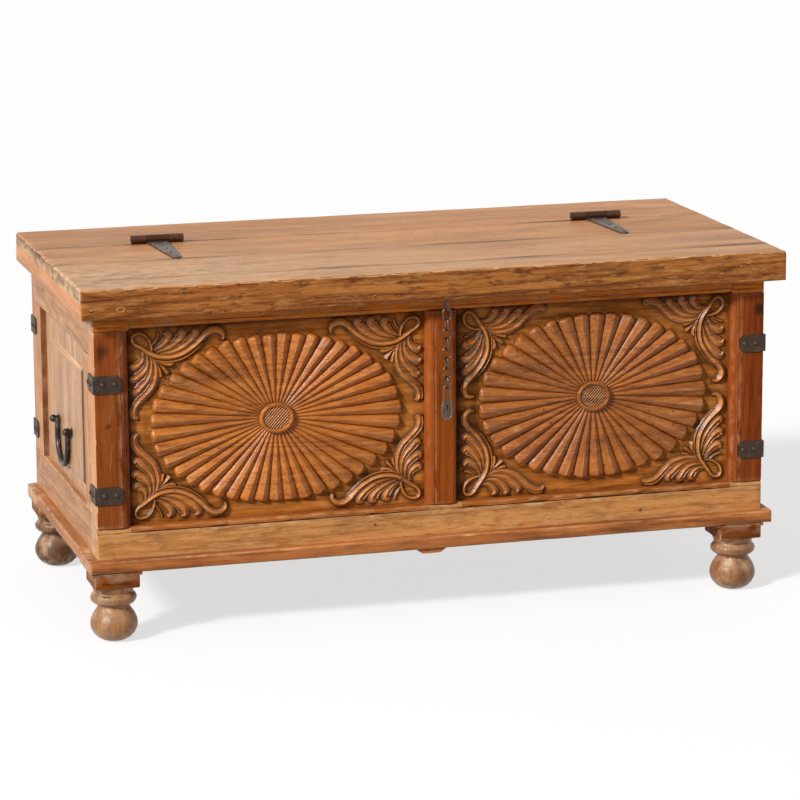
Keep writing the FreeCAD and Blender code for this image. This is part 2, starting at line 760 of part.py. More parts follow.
# Side handles: knobbed posts clenched through the panel, a bail whose ends turn out into them
def handle_post(seat):
    reach = flange_thickness + knob_reach
    knob_start = reach - math.sqrt(knob_radius ** 2 - stem_radius ** 2)

    def at(outward, radius):
        return seat + Vector(-outward, 0, radius)

    points = [
        at(-shank_length, 0),
        at(-shank_length, shank_radius),
        at(0, shank_radius),
        at(0, flange_radius),
        at(flange_thickness, flange_radius),
        at(flange_thickness, stem_radius),
        at(knob_start, stem_radius),
    ]
    tip = at(reach + knob_radius, 0)
    edges = [Part.LineSegment(a, b).toShape() for a, b in zip(points, points[1:])]
    edges.append(Part.Arc(points[-1], at(reach, knob_radius), tip).toShape())
    edges.append(Part.LineSegment(tip, points[0]).toShape())
    post = Part.Face(Part.Wire(edges)).revolve(seat, along_x, 360)
    eye = Vector(pivot_x, seat.y - knob_radius, seat.z)
    return post.cut(rod(eye, along_y, 2 * knob_radius, bail_stub_radius + bail_fit))


def handle_bail():
    arm_spread = handle_spacing / 2 - bail_inset
    arm_length = bail_drop - arm_spread
    bend_z = handle_height - arm_length
    shapes = []
    for end in (-1, 1):
        top = Vector(pivot_x, handle_y + end * arm_spread, handle_height)
        shapes.append(rod(top - along_z * arm_length, along_z, arm_length, bail_radius))
        shapes.append(Part.makeSphere(bail_radius, top))
        shapes.append(rod(top, along_y * end, bail_inset + stem_radius + bail_stub_end, bail_stub_radius))
    section = Part.Wire(Part.Circle(Vector(pivot_x, handle_y + arm_spread, bend_z), along_z, bail_radius).toShape())
    center = Vector(pivot_x, handle_y, bend_z)
    shapes.append(Part.Face(section).revolve(center, along_x * -1, 180))
    return fuse(shapes)


left_posts = [handle_post(seat) for seat in handle_seats]
nodes["handle_posts"] = Part.makeCompound(left_posts + [mirrored(post) for post in left_posts])
nodes["left_bail"] = handle_bail()
nodes["right_bail"] = mirrored(nodes["left_bail"])

# Chain hasp: a staple under the lid's front, alternating links and a pierced plate
half_turn = 180


def wire_bend(center, start, axis):
    # Half a turn of wire from the start point round the center
    tangent = axis.cross(start - center)
    section = Part.Wire(Part.Circle(start, tangent, wire_radius).toShape())
    return Part.Face(section).revolve(center, axis, half_turn)


bend_center = Vector(chain_x, chain_y, staple_bar_z + staple_half_width)
staple_shapes = [wire_bend(bend_center, bend_center + along_y * staple_half_width, along_x * -1)]
for leg in staple_legs:
    foot_point = Vector(leg.x, leg.y, bend_center.z)
    staple_shapes.append(rod(foot_point, along_z, fascia_bottom + staple_grip - foot_point.z, wire_radius))
nodes["chain_staple"] = fuse(staple_shapes)


def chain_link(bar_z, across):
    # One link from the height of its upper bar, its width laid along the given direction
    bend = link_width / 2 - wire_radius
    run = link_length - link_width
    normal = across.cross(along_z)
    upper = Vector(chain_x, chain_y, bar_z - bend)
    lower = upper - along_z * run
    shapes = [
        wire_bend(upper, upper + across * bend, normal),
        wire_bend(lower, lower + across * bend, normal * -1),
    ]
    for end in (-1, 1):
        shapes.append(rod(lower + across * (end * bend), along_z, run, wire_radius))
    return fuse(shapes)


for number in range(link_count):
    across = along_y if number % 2 else along_x
    nodes["chain_link_" + str(number + 1)] = chain_link(first_link_bar_z - number * link_pitch, across)
last_bar_z = first_link_bar_z - (link_count - 1) * link_pitch - link_length + 2 * wire_radius


def slot_plate(center_x, top_z, bottom_z, width, thickness):
    # Upright plate with round ends, centered on the chain's plane
    radius = width / 2
    y0 = chain_y - thickness / 2
    shapes = [
        rod(Vector(center_x, y0, top_z - radius), along_y, thickness, radius),
        rod(Vector(center_x, y0, bottom_z + radius), along_y, thickness, radius),
        block(center_x - radius, center_x + radius, y0, y0 + thickness, bottom_z + radius, top_z - radius),
    ]
    return fuse(shapes)


def hasp_plate():
    slot_top = last_bar_z + wire_radius + hasp_gap
    top = slot_top + hasp_rim
    low = top - hasp_length
    half = hasp_plate_width / 2
    plate = fuse([
        slot_plate(chain_x, top, low + half, hasp_loop_width, hasp_thickness),
        rod(Vector(chain_x, chain_y - hasp_thickness / 2, low + half), along_y, hasp_thickness, half),
    ])
    cut_depth = hasp_thickness + 2 * overrun
    slot = slot_plate(chain_x, slot_top, slot_top - hasp_slot_length, hasp_loop_width - 2 * hasp_rim, cut_depth)
    key_center = Vector(chain_x, chain_y - cut_depth / 2, top - keyhole_drop)
    key = rod(key_center, along_y, cut_depth, keyhole_radius)
    key_slot = slot_plate(chain_x, key_center.z, key_center.z - keyhole_slot_length, keyhole_slot_width, cut_depth)
    return plate.cut([slot, key, key_slot])


nodes["hasp"] = hasp_plate()

for name, shape in nodes.items():
    shape.exportStep("parts/" + name + ".step")
print(len(nodes), "pieces, hinge axis", round(seam_y, 2), round(hinge_z, 2))
print("chain x", chain_x, "y", chain_y, "first bar", round(first_link_bar_z, 2), "pitch", round(link_pitch, 3))
print("staple bar", round(staple_bar_z, 2), "last bar", round(last_bar_z, 2), "handle pivot", pivot_x, handle_y)
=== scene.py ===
import bpy
import math
import random
from mathutils import Matrix, Vector, kdtree, noise


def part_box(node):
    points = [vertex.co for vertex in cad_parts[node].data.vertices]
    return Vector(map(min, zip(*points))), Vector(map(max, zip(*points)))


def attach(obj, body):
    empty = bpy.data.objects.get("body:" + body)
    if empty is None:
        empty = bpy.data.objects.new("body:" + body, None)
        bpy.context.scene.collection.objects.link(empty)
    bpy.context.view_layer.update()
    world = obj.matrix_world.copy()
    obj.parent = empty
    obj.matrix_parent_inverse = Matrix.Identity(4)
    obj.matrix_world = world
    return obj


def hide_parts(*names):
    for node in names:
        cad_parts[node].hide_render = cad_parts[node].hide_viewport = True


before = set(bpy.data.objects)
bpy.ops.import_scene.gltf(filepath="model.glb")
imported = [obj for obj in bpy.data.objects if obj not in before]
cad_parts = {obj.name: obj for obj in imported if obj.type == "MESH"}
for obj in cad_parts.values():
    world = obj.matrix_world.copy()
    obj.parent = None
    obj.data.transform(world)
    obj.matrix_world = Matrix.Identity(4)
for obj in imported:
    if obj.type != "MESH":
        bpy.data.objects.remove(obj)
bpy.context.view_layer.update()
mm = 0.001
print("trunk frame loaded")


# small tools for modelling
def clamp(value, high=1):
    return min(high, max(0, value))


def meets(a, b, reach=mm):
    return abs(a - b) < reach


def runs(way, axis):
    return abs(way[axis]) > 0.9


def clearSelection():
    if bpy.context.object and bpy.context.object.mode != "OBJECT":
        bpy.ops.object.mode_set(mode="OBJECT")
    bpy.ops.object.select_all(action="DESELECT")


def pickUp(piece):
    clearSelection()
    piece.select_set(True)
    bpy.context.view_layer.objects.active = piece


def settle(piece):
    pickUp(piece)
    bpy.ops.object.transform_apply(location=True, rotation=True, scale=True)
    return piece


def faceOutward(piece):
    pickUp(piece)
    bpy.ops.object.mode_set(mode="EDIT")
    bpy.ops.mesh.select_all(action="SELECT")
    bpy.ops.mesh.normals_make_consistent(inside=False)
    bpy.ops.object.mode_set(mode="OBJECT")
    return piece


def addShape(make, **settings):
    clearSelection()
    make(**settings)
    return bpy.context.object


def addBlock(name, one, other):
    low = Vector([min(pair) for pair in zip(one, other)])
    high = Vector([max(pair) for pair in zip(one, other)])
    block = addShape(bpy.ops.mesh.primitive_cube_add, size=1, location=(low + high) / 2, scale=high - low)
    block.name = name
    return settle(block)


def copyOf(pattern):
    piece = pattern.copy()
    piece.data = pattern.data.copy()
    bpy.context.scene.collection.objects.link(piece)
    return piece


def roundEdges(piece, chosen, offset, segments=3):
    pickUp(piece)
    mesh = piece.data
    for group in (mesh.vertices, mesh.edges, mesh.polygons):
        group.foreach_set("select", [False] * len(group))
    for edge in mesh.edges:
        a, b = (mesh.vertices[i].co for i in edge.vertices)
        edge.select = bool(chosen((a + b) / 2, (b - a).normalized()))
    bpy.context.tool_settings.mesh_select_mode = (False, True, False)
    bpy.ops.object.mode_set(mode="EDIT")
    bpy.ops.mesh.bevel(offset=offset, segments=segments, affect="EDGES")
    bpy.ops.object.mode_set(mode="OBJECT")
    bpy.context.tool_settings.mesh_select_mode = (True, False, False)


def cutEvery(piece, step, *axes):
    for axis in axes:
        places = [v.co[axis] for v in piece.data.vertices]
        low, high = min(places), max(places)
        count = max(1, round((high - low) / step))
        facing, at = Vector((0, 0, 0)), Vector((0, 0, 0))
        facing[axis] = 1
        pickUp(piece)
        bpy.ops.object.mode_set(mode="EDIT")
        for i in range(1, count):
            at[axis] = low + (high - low) * i / count
            bpy.ops.mesh.select_all(action="SELECT")
            bpy.ops.mesh.bisect(plane_co=at, plane_no=facing)
        bpy.ops.object.mode_set(mode="OBJECT")


def addMoulding(name, section, axis, start, end):
    # the outline is set on a filled circle of as many points, then drawn out along the axis
    bar = addShape(bpy.ops.mesh.primitive_circle_add, vertices=len(section), radius=0.1, fill_type="NGON")
    bar.name = name
    first, second = [i for i in range(3) if i != axis]
    for vertex, (u, v) in zip(bar.data.vertices, section):
        place = Vector((0, 0, 0))
        place[axis], place[first], place[second] = start, u, v
        vertex.co = place
    reach = Vector((0, 0, 0))
    reach[axis] = end - start
    bpy.ops.object.mode_set(mode="EDIT")
    bpy.ops.mesh.select_all(action="SELECT")
    bpy.ops.mesh.extrude_region_move(TRANSFORM_OT_translate={"value": reach})
    return faceOutward(bar)


def drawCurve(name, kind, paths, closed=False, **settings):
    # a path is a row of points, each with its radius
    curve = bpy.data.curves.new(name, "CURVE")
    for key, value in settings.items():
        setattr(curve, key, value)
    for path in paths:
        spline = curve.splines.new(kind)
        spline.use_cyclic_u = closed
        smooth = kind == "BEZIER"
        points = spline.bezier_points if smooth else spline.points
        points.add(len(path) - 1)
        for point, (x, y, z, radius) in zip(points, path):
            point.co = (x, y, z) if smooth else (x, y, z, 1)
            point.radius = radius
            if smooth:
                point.handle_left_type = point.handle_right_type = "AUTO"
    line = bpy.data.objects.new(name, curve)
    bpy.context.scene.collection.objects.link(line)
    return line


def meshOf(line):
    pickUp(line)
    bpy.ops.object.convert(target="MESH")
    return bpy.context.object


def joinPieces(name, parts):
    clearSelection()
    for part in parts:
        part.select_set(True)
    bpy.context.view_layer.objects.active = parts[0]
    if len(parts) > 1:
        bpy.ops.object.join()
    parts[0].name = name
    return parts[0]


def paintLayer(piece, name, tone):
    # the tone is one value, a list of them or a function of the place
    layer = piece.data.attributes.get(name) or piece.data.attributes.new(name, "FLOAT", "POINT")
    if not isinstance(tone, list):
        tone = [tone(v.co) if callable(tone) else tone for v in piece.data.vertices]
    layer.data.foreach_set("value", tone)


wornSpec = {"edge": (0.015, 0.2), "shift": Vector((3.7, 1.3, 2.1)), "roll": 9, "bites": 2,
            "rubbed": (0.35, 1.1), "seamWidth": 2 * mm, "seamRun": 7, "seamBreak": (0.45, 1.6)}


def weather(piece, seed, chip, grit, wave, marks=(), rub=1.0, seams=()):
    # edges lose small bites, faces roll a little, and both are noted for the finish
    flat, span = wornSpec["edge"]
    plain, bitten = wornSpec["rubbed"]
    whole, broken = wornSpec["seamBreak"]
    shift = wornSpec["shift"] * seed
    wearAndHighlight, dirtAndShade, moved = [], [], []
    for vertex in piece.data.vertices:
        n, at = vertex.normal, vertex.co
        edge = clamp((1 - max(abs(n.x), abs(n.y), abs(n.z)) - flat) / span)
        bite = max(0, noise.fractal(at * grit + shift, 1.0, 2.1, 3))
        roll = noise.noise(at * wornSpec["roll"] + shift)
        sunk = 0
        for spot, reach, depth in marks:
            near = (at - Vector(spot)).length / reach
            sunk = max(sunk, depth * max(0, 1 - near * near))
        for axis, level, depth in seams:
            if meets(at[axis], level, wornSpec["seamWidth"]):
                patchy = noise.noise(Vector((at.x * wornSpec["seamRun"], at.y * wornSpec["seamRun"], seed)))
                sunk = max(sunk, depth * clamp(whole + broken * patchy))
        moved.append(at + n * (wave * roll - chip * bite * edge * wornSpec["bites"]))
        wearAndHighlight.append(min(1, rub * edge * (plain + bitten * bite)) * (1 - sunk))
        dirtAndShade.append(min(1, sunk))
    for vertex, at in zip(piece.data.vertices, moved):
        vertex.co = at
    paintLayer(piece, "wearAndHighlight", wearAndHighlight)
    paintLayer(piece, "dirtAndShade", dirtAndShade)


def finishPiece(piece, body, slot, finish, *nodes, smooth=38, pick=None):
    pickUp(piece)
    bpy.ops.object.shade_smooth_by_angle(angle=math.radians(smooth))
    piece.data.materials.clear()
    for each in finish if isinstance(finish, tuple) else [finish]:
        piece.data.materials.append(each)
    if pick:
        for polygon in piece.data.polygons:
            polygon.material_index = int(pick(polygon))
    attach(piece, body)
    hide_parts(*nodes)


# finishes
def addNode(tree, kind, links=None, **settings):
    node = tree.nodes.new("ShaderNode" + kind)
    for key, value in settings.items():
        setattr(node, key, value)
    for key, value in (links or {}).items():
        socket = node.inputs[key]
        if isinstance(value, bpy.types.NodeSocket):
            tree.links.new(value, socket)
        else:
            socket.default_value = value
    return node


def mixer(tree):
    def cloud(vector, detail=4.0, roughness=0.55, bend=0.0, scale=1.0):
        return addNode(tree, "TexNoise", {"Vector": vector, "Scale": scale, "Detail": detail,
                                          "Roughness": roughness, "Distortion": bend}).outputs[0]

    def spread(value, low, high, start=0.0, end=1.0):
        return addNode(tree, "MapRange", {"Value": value, "From Min": low, "From Max": high,
                                          "To Min": start, "To Max": end}).outputs[0]

    def sums(a, b, how="ADD"):
        return addNode(tree, "Math", {0: a, 1: b}, operation=how).outputs[0]

    def over(amount, below, above):
        below, above = ((*tone, 1) if isinstance(tone, tuple) else tone for tone in (below, above))
        return addNode(tree, "Mix", {0: amount, 6: below, 7: above}, data_type="RGBA").outputs[2]

    return cloud, spread, over, sums


def newFinish(name):
    material = bpy.data.materials.new(name)
    material.use_nodes = True
    tree = material.node_tree
    return material, tree, tree.nodes["Principled BSDF"], addNode(tree, "TexCoord").outputs["Object"]


def layBumps(tree, shader, *layers):
    below = {}
    for strength, distance, height in layers:
        links = {"Strength": strength, "Distance": distance, "Height": height, **below}
        below["Normal"] = addNode(tree, "Bump", links).outputs[0]
    tree.links.new(below["Normal"], shader.inputs["Normal"])


def shades(base, depth):
    factors = ((0.46, 0.40, 0.36), (0.78, 0.74, 0.70), (1, 1, 1), (1.22, 1.30, 1.42))
    return [tuple(min(0.95, c * max(0.12, 1 + (f - 1) * depth)) for c, f in zip(base, row))
            for row in factors]


def timber(name, base, shift, grain="x", depth=1.0, tight=2.0, rings=14.0, gloss=(0.36, 0.56), knots=0.5,
           specks=0.7, pits=0.6, crackle=0.0, wearAndHighlightTone=(0.62, 0.40, 0.24), dirtAndShadeTone=(0.045, 0.016, 0.006),
           greyTone=(0.33, 0.24, 0.18), grey=0.5, sheen=0.2, mix=(0.30, 0.26, 0.30), veins=0.22):
    material, tree, shader, place = newFinish(name)
    cloud, spread, over, sums = mixer(tree)
    tones = shades(base, depth)
    dark = tones[0]

    def along(run, across, more=0.0):
        stretch = [across] * 3
        stretch["xyz".index(grain)] = run
        there = (shift + more, 0.7 * shift - more, 1.3 * shift + 0.4 * more)
        return addNode(tree, "Mapping", {"Vector": place, "Scale": stretch, "Location": there}).outputs[0]

    def times(a, b):
        return sums(a, b, "MULTIPLY")

    def cells(run, across, more):
        return addNode(tree, "TexVoronoi", {"Vector": along(run, across, more), "Scale": 1.0}).outputs

    def dotted(colour, cell, channel, rare, low, high, amount):
        chosen = addNode(tree, "SeparateColor", {0: cell["Color"]}).outputs[channel]
        dot = times(spread(cell["Distance"], low, high, 1, 0), spread(chosen, rare, rare + 0.04))
        return over(times(dot, amount), colour, dirtAndShadeTone)

    broad = cloud(along(1.6, 14 * tight), 4.0, 0.65, 0.6)
    streak = cloud(along(3.2 * tight, 58 * tight, 3.1), 6.0, 0.72, 0.3)
    fine = cloud(along(9 * tight, 190 * tight, 1.7), 5.0, 0.7)
    patch = cloud(along(8, 34 * tight, 5.3), 6.0, 0.7)
    warm = cloud(along(2.2, 8, 8.8), 3.0)
    pores = spread(cloud(along(45, 950, 7.7), 2.0), 0.58, 0.74)
    # growth lines follow the level lines of a long soft cloud
    swell = times(cloud(along(0.9, 6.5 * tight, 11.3), 2.0, 0.4, 0.3), rings)
    lines = times(sums(swell, 0.5, "PINGPONG"), 2.0)
    tone = times(lines, 0.14)
    for layer, share in zip((fine, streak, broad), reversed(mix)):
        tone = sums(spread(layer, 0.3, 0.7, 0, share), tone)
    ramp = addNode(tree, "ValToRGB", {0: tone})
    stops = ramp.color_ramp.elements
    while len(stops) < len(tones):
        stops.new(0.5)
    for stop, at, colour in zip(stops, (0.31, 0.44, 0.53, 0.68), tones):
        stop.position = at
        stop.color = (*colour, 1)
    colour = over(times(pores, 0.45), ramp.outputs[0], dark)
    colour = over(spread(lines, 0, 0.2, veins, 0), colour, dark)
    colour = over(spread(warm, 0.42, 0.64, 0, 0.35), colour, (base[0] * 0.95, base[1] * 0.76, base[2] * 0.6))
    colour = over(spread(patch, 0.54, 0.66, 0, grey), colour, greyTone)
    colour = dotted(colour, cells(48, 60, 6.6), 1, 0.70, 0.09, 0.15, pits)
    # knots and small dark nail spots
    knot = sums(cells(2.1, 6.5, 2.2)["Distance"], spread(fine, 0.3, 0.7, -0.03, 0.03))
    colour = over(spread(knot, 0.05, 0.16, knots, 0), colour, tuple(c * 0.5 for c in dark))
    colour = dotted(colour, cells(15, 15, 4.4), 0, 0.72, 0.035, 0.06, specks)
    if crackle:
        # pale flecks and dark grime left by an old broken finish
        fleck = spread(cloud(along(34, 150, 9.1), 5.0, 0.72, 0.3), 0.54, 0.64)
        grimeAndShade = spread(cloud(along(26, 95, 12.7), 5.0, 0.72, 0.4), 0.53, 0.63)
        colour = over(times(grimeAndShade, 1.3 * crackle), colour, tuple(c * 0.75 for c in dark))
        colour = over(times(fleck, crackle), colour, wearAndHighlightTone)
    # the wear-and-highlight layer lays real wear and painted highlights in the pale tone; the dirt-and-shade
    # layer lays real dirt and painted shade in the dark tone
    wearAndHighlight = addNode(tree, "Attribute", attribute_name="wearAndHighlight").outputs["Fac"]
    scuffAndHighlight = times(wearAndHighlight, spread(cloud(along(40, 70, 6.1), 3.0), 0.35, 0.6))
    colour = over(times(scuffAndHighlight, 1.2), colour, wearAndHighlightTone)
    dirtAndShade = addNode(tree, "Attribute", attribute_name="dirtAndShade").outputs["Fac"]
    colour = over(dirtAndShade, colour, dirtAndShadeTone)
    tree.links.new(colour, shader.inputs["Base Color"])
    tree.links.new(spread(sums(fine, patch), 0.7, 1.3, *gloss), shader.inputs["Roughness"])
    shader.inputs["Specular IOR Level"].default_value = sheen
    layBumps(tree, shader, (0.5, 0.6 * mm, sums(times(fine, 0.5), times(pores, -0.7))),
             (0.5, 1.2 * mm, sums(streak, patch)))
    return material


def forged(name, base, rust=(0.13, 0.05, 0.02), rusty=0.4, bright=(0.30, 0.27, 0.24), metal=0.7,
           gloss=(0.34, 0.6), upper=None):
    material, tree, shader, place = newFinish(name)
    cloud, spread, over = mixer(tree)[:3]
    hammer = cloud(place, 4.0, 0.6, scale=95.0)
    bloom = cloud(place, 5.0, 0.65, scale=34.0)
    pits = addNode(tree, "TexVoronoi", {"Vector": place, "Scale": 330.0}).outputs["Distance"]
    skin = over(spread(hammer, 0.52, 0.7, 0, 0.35), base, bright)
    skin = over(spread(bloom, 0.48, 0.66, 0, rusty), skin, rust)
    if upper:
        # the rolled barrel is browner than the flat strap
        level, tone = upper
        height = addNode(tree, "SeparateXYZ", {0: place}).outputs[2]
        skin = over(spread(height, level, level + mm), skin, tone)
    tree.links.new(skin, shader.inputs["Base Color"])
    tree.links.new(spread(bloom, 0.35, 0.65, *gloss), shader.inputs["Roughness"])
    shader.inputs["Metallic"].default_value = metal
    layBumps(tree, shader, (0.5, 0.7 * mm, hammer), (0.25, 0.3 * mm, pits))
    return material


lidLook = {"depth": 0.62, "tight": 0.8, "rings": 9, "gloss": (0.42, 0.62), "grey": 0.4, "crackle": 0.2,
           "greyTone": (0.36, 0.185, 0.088), "wearAndHighlightTone": (0.86, 0.56, 0.33), "specks": 0.9, "sheen": 0.3,
           "mix": (0.40, 0.14, 0.3), "veins": 0.14}
lidWood = timber("lidWood", (0.66, 0.335, 0.146), 0.3, **lidLook)
rearLidWood = timber("rearLidWood", (0.64, 0.292, 0.108), 0.9, **lidLook)
lidEndWood = timber("lidEndWood", (0.46, 0.235, 0.115), 1.9, grain="y", depth=1.4, tight=1.0, crackle=0.6,
                    gloss=(0.5, 0.7), grey=0.8, greyTone=(0.10, 0.065, 0.05), wearAndHighlightTone=(0.74, 0.50, 0.29),
                    sheen=0.3)
lipWood = timber("lipWood", (0.67, 0.28, 0.085), 2.7, grain="y", depth=0.7, tight=1.6, grey=0.3, sheen=0.3,
                 greyTone=(0.36, 0.16, 0.07))
fasciaWood = timber("fasciaWood", (0.41, 0.138, 0.027), 4.1, depth=1.4, rings=18, crackle=0.6, grey=0.55,
                    knots=0.8, greyTone=(0.11, 0.042, 0.014), wearAndHighlightTone=(0.60, 0.29, 0.09))
railWood = timber("railWood", (0.66, 0.29, 0.088), 5.2, depth=0.9, crackle=0.4, pits=0.9, veins=0.14,
                  greyTone=(0.22, 0.10, 0.036), wearAndHighlightTone=(0.74, 0.45, 0.21))
# the top rail's wood is paler than its own tone: painted light lifting the shade under the lid
topRailWood = timber("topRailWood", (0.80, 0.225, 0.021), 5.9, depth=1.1, rings=18, crackle=0.3, sheen=0.06,
                     greyTone=(0.16, 0.06, 0.018), wearAndHighlightTone=(0.62, 0.34, 0.14))
postLook = {"grain": "z", "depth": 0.8, "tight": 2.2, "grey": 0.35, "greyTone": (0.10, 0.022, 0.006),
            "wearAndHighlightTone": (0.50, 0.20, 0.09), "gloss": (0.32, 0.5), "sheen": 0.07, "mix": (0.36, 0.2, 0.3),
            "veins": 0.12}
postWood = {"left": timber("leftPostWood", (0.285, 0.069, 0.013), 6.6, **postLook),
            "right": timber("rightPostWood", (0.28, 0.057, 0.009), 6.1, **postLook)}
stileWood = timber("stileWood", (0.33, 0.074, 0.008), 6.9, **postLook)
beadWood = timber("beadWood", (0.36, 0.082, 0.0105), 6.4, **postLook)
railBeadWood = timber("railBeadWood", (0.38, 0.105, 0.018), 5.5, greyTone=(0.20, 0.06, 0.015),
                      wearAndHighlightTone=(0.62, 0.32, 0.13), sheen=0.08, veins=0.1)
carvedLook = {"grey": 0.4, "greyTone": (0.21, 0.06, 0.011), "knots": 0.2, "crackle": 0.2,
              "gloss": (0.2, 0.34), "dirtAndShadeTone": (0.022, 0.0065, 0.0014), "pits": 0.8, "veins": 0.12}
burstLook = {**carvedLook, "wearAndHighlightTone": (0.84, 0.44, 0.18), "sheen": 0.3}
# the right panel's wood is a darker copy of the left: painted shade where the light falls off
carvedWood = {"left": timber("leftCarvedWood", (0.53, 0.165, 0.021), 7.3, **burstLook),
              "right": timber("shadedRightCarvedWood", (0.41, 0.122, 0.0165), 7.7, **burstLook)}
sprayWood = timber("sprayWood", (0.66, 0.232, 0.044), 7.9, wearAndHighlightTone=(0.90, 0.52, 0.25), sheen=0.32,
                   **carvedLook)
groundWood = timber("groundWood", (0.66, 0.225, 0.038), 7.5, rings=16, greyTone=(0.27, 0.095, 0.02),
                    gloss=(0.4, 0.6), dirtAndShadeTone=(0.016, 0.005, 0.0015), sheen=0.06, crackle=0.2)
sideLook = {"depth": 0.9, "tight": 1.7, "greyTone": (0.30, 0.145, 0.068), "wearAndHighlightTone": (0.78, 0.52, 0.31),
            "crackle": 0.2, "mix": (0.38, 0.16, 0.28), "veins": 0.1}
sideWood = timber("sideWood", (0.54, 0.255, 0.108), 8.4, grain="y", **sideLook)
backWood = timber("backWood", (0.54, 0.255, 0.108), 8.9, grain="x", **sideLook)
sidePostLook = {"grain": "z", "depth": 0.75, "tight": 1.2, "grey": 0.35, "greyTone": (0.32, 0.14, 0.06),
                "wearAndHighlightTone": (0.78, 0.52, 0.30), "mix": (0.42, 0.14, 0.28), "veins": 0.1}
sidePostWood = timber("sidePostWood", (0.64, 0.30, 0.122), 9.2, **sidePostLook)
rearPostWood = timber("rearPostWood", (0.55, 0.235, 0.085), 9.5, **sidePostLook)
sidePanelWood = timber("sidePanelWood", (0.58, 0.33, 0.172), 10.1, grain="z", depth=0.75, tight=1.0,
                       greyTone=(0.36, 0.22, 0.125), wearAndHighlightTone=(0.82, 0.58, 0.38), crackle=0.25,
                       mix=(0.44, 0.14, 0.26), veins=0.08)
# the field's top bevel takes this paler wood: painted highlight
litBevelWood = timber("litBevelWood", (0.84, 0.50, 0.26), 9.9, grain="y", depth=0.8, tight=1.4, grey=0.3,
                   greyTone=(0.5, 0.28, 0.14))
# dark wood for the reveal beside the side panel: painted shade in the recess
shadedRevealWood = timber("shadedRevealWood", (0.22, 0.075, 0.026), 9.7, grain="z", depth=0.9, tight=1.4, grey=0.4,
                    greyTone=(0.10, 0.04, 0.015), sheen=0.1)
innerWood = timber("innerWood", (0.42, 0.22, 0.11), 11.6, depth=0.9, tight=1.0, gloss=(0.55, 0.75), sheen=0.3)
plinthWood = timber("plinthWood", (0.50, 0.17, 0.045), 12.3, depth=1.1, rings=16, knots=0.8, specks=0.9,
                    greyTone=(0.11, 0.04, 0.016), wearAndHighlightTone=(0.80, 0.50, 0.28))
plinthEndWood = timber("plinthEndWood", (0.47, 0.182, 0.05), 13.1, grain="y", tight=1.6, knots=0.8,
                       specks=0.9, greyTone=(0.2, 0.08, 0.03), wearAndHighlightTone=(0.80, 0.52, 0.28))
footLook = {"grain": "z", "depth": 0.9, "tight": 1.6, "grey": 0.45, "gloss": (0.24, 0.40), "crackle": 0.2,
            "veins": 0.1}
# the four feet are one wood: the front left copy is lighter, a painted light, and the others darker, painted
# shade
litLeftFootWood = timber("litLeftFootWood", (0.45, 0.20, 0.072), 14.2, greyTone=(0.17, 0.075, 0.03), sheen=0.32,
                      **footLook)
shadedRightFootWood = timber("shadedRightFootWood", (0.31, 0.122, 0.037), 14.5, greyTone=(0.13, 0.06, 0.025), sheen=0.32,
                       **footLook)
shadedRearFootWood = timber("shadedRearFootWood", (0.12, 0.042, 0.013), 14.8, greyTone=(0.09, 0.04, 0.018), **footLook)
blockWood = timber("blockWood", (0.26, 0.064, 0.007), 15.1, depth=1.1, tight=1.8, grey=0.4,
                   greyTone=(0.11, 0.035, 0.01), sheen=0.03)
barrelTone = (0.066, 0.023, 0.008)
barrelFoot = 596.5 * mm
strapIron = forged("strapIron", (0.125, 0.09, 0.072), rusty=0.35, upper=(barrelFoot, barrelTone))
barrelIron = forged("barrelIron", barrelTone, rust=(0.13, 0.04, 0.01), rusty=0.6, bright=(0.09, 0.05, 0.03),
                    metal=0.4)
cornerIron = forged("cornerIron", (0.046, 0.031, 0.022), rusty=0.35, bright=(0.17, 0.13, 0.105))
handleIron = forged("handleIron", (0.037, 0.027, 0.021), rusty=0.25, gloss=(0.28, 0.48))
chainIron = forged("chainIron", (0.12, 0.076, 0.053), metal=0.8, gloss=(0.26, 0.45))
haspIron = forged("haspIron", (0.17, 0.115, 0.085), rusty=0.35, metal=0.75, gloss=(0.3, 0.5))
haspShade = forged("haspShade", (0.10, 0.066, 0.046), bright=(0.18, 0.13, 0.10), metal=0.6)
keyholeShade = forged("keyholeShade", (0.004, 0.003, 0.002), rusty=0, bright=(0.006, 0.005, 0.004), metal=0)
print("wood and iron finishes mixed")

# camera, floor and studio light
viewSpec = {"place": (-1.6588, -5.7935, 1.6554), "yaw": 0.28052, "pitch": 0.21901, "roll": -0.00475,
            "lens": 161.469, "sensor": 36, "reach": 200}


def placeCamera(spec):
    yaw, pitch, roll = spec["yaw"], spec["pitch"], spec["roll"]
    ahead = Vector((math.sin(yaw) * math.cos(pitch), math.cos(yaw) * math.cos(pitch), -math.sin(pitch)))
    right = Vector((math.cos(yaw), -math.sin(yaw), 0))
    up = right.cross(ahead)
    tilted = right * math.cos(roll) + up * math.sin(roll)
    upright = up * math.cos(roll) - right * math.sin(roll)
    lens = bpy.data.cameras.new("photoCamera")
    lens.sensor_width = spec["sensor"]
    lens.lens = spec["lens"]
    lens.clip_end = spec["reach"]
    camera = bpy.data.objects.new("photoCamera", lens)
    bpy.context.scene.collection.objects.link(camera)
    camera.matrix_world = Matrix((tilted, upright, -ahead)).transposed().to_4x4()
    camera.location = spec["place"]
    bpy.context.scene.camera = camera


# the near lamp stands by the left end, so that the light fades along the trunk
studioSpec = {"world": 0.25, "worldTone": (1, 0.99, 0.97, 1), "white": (1, 1, 1, 1),
              "keyFrom": (-3.6, -2.3, 2.6), "key": {"energy": 3.0, "angle": math.radians(8)},
              "nearFrom": (-1.9, -1.7, 1.5), "nearAim": (-0.4, -0.2, 0.4), "near": {"energy": 6, "size": 1.0},
              "floor": (0.46,) * 3, "seenFloor": (0.42,) * 3, "floorGlow": 0.67, "floorSize": 80}


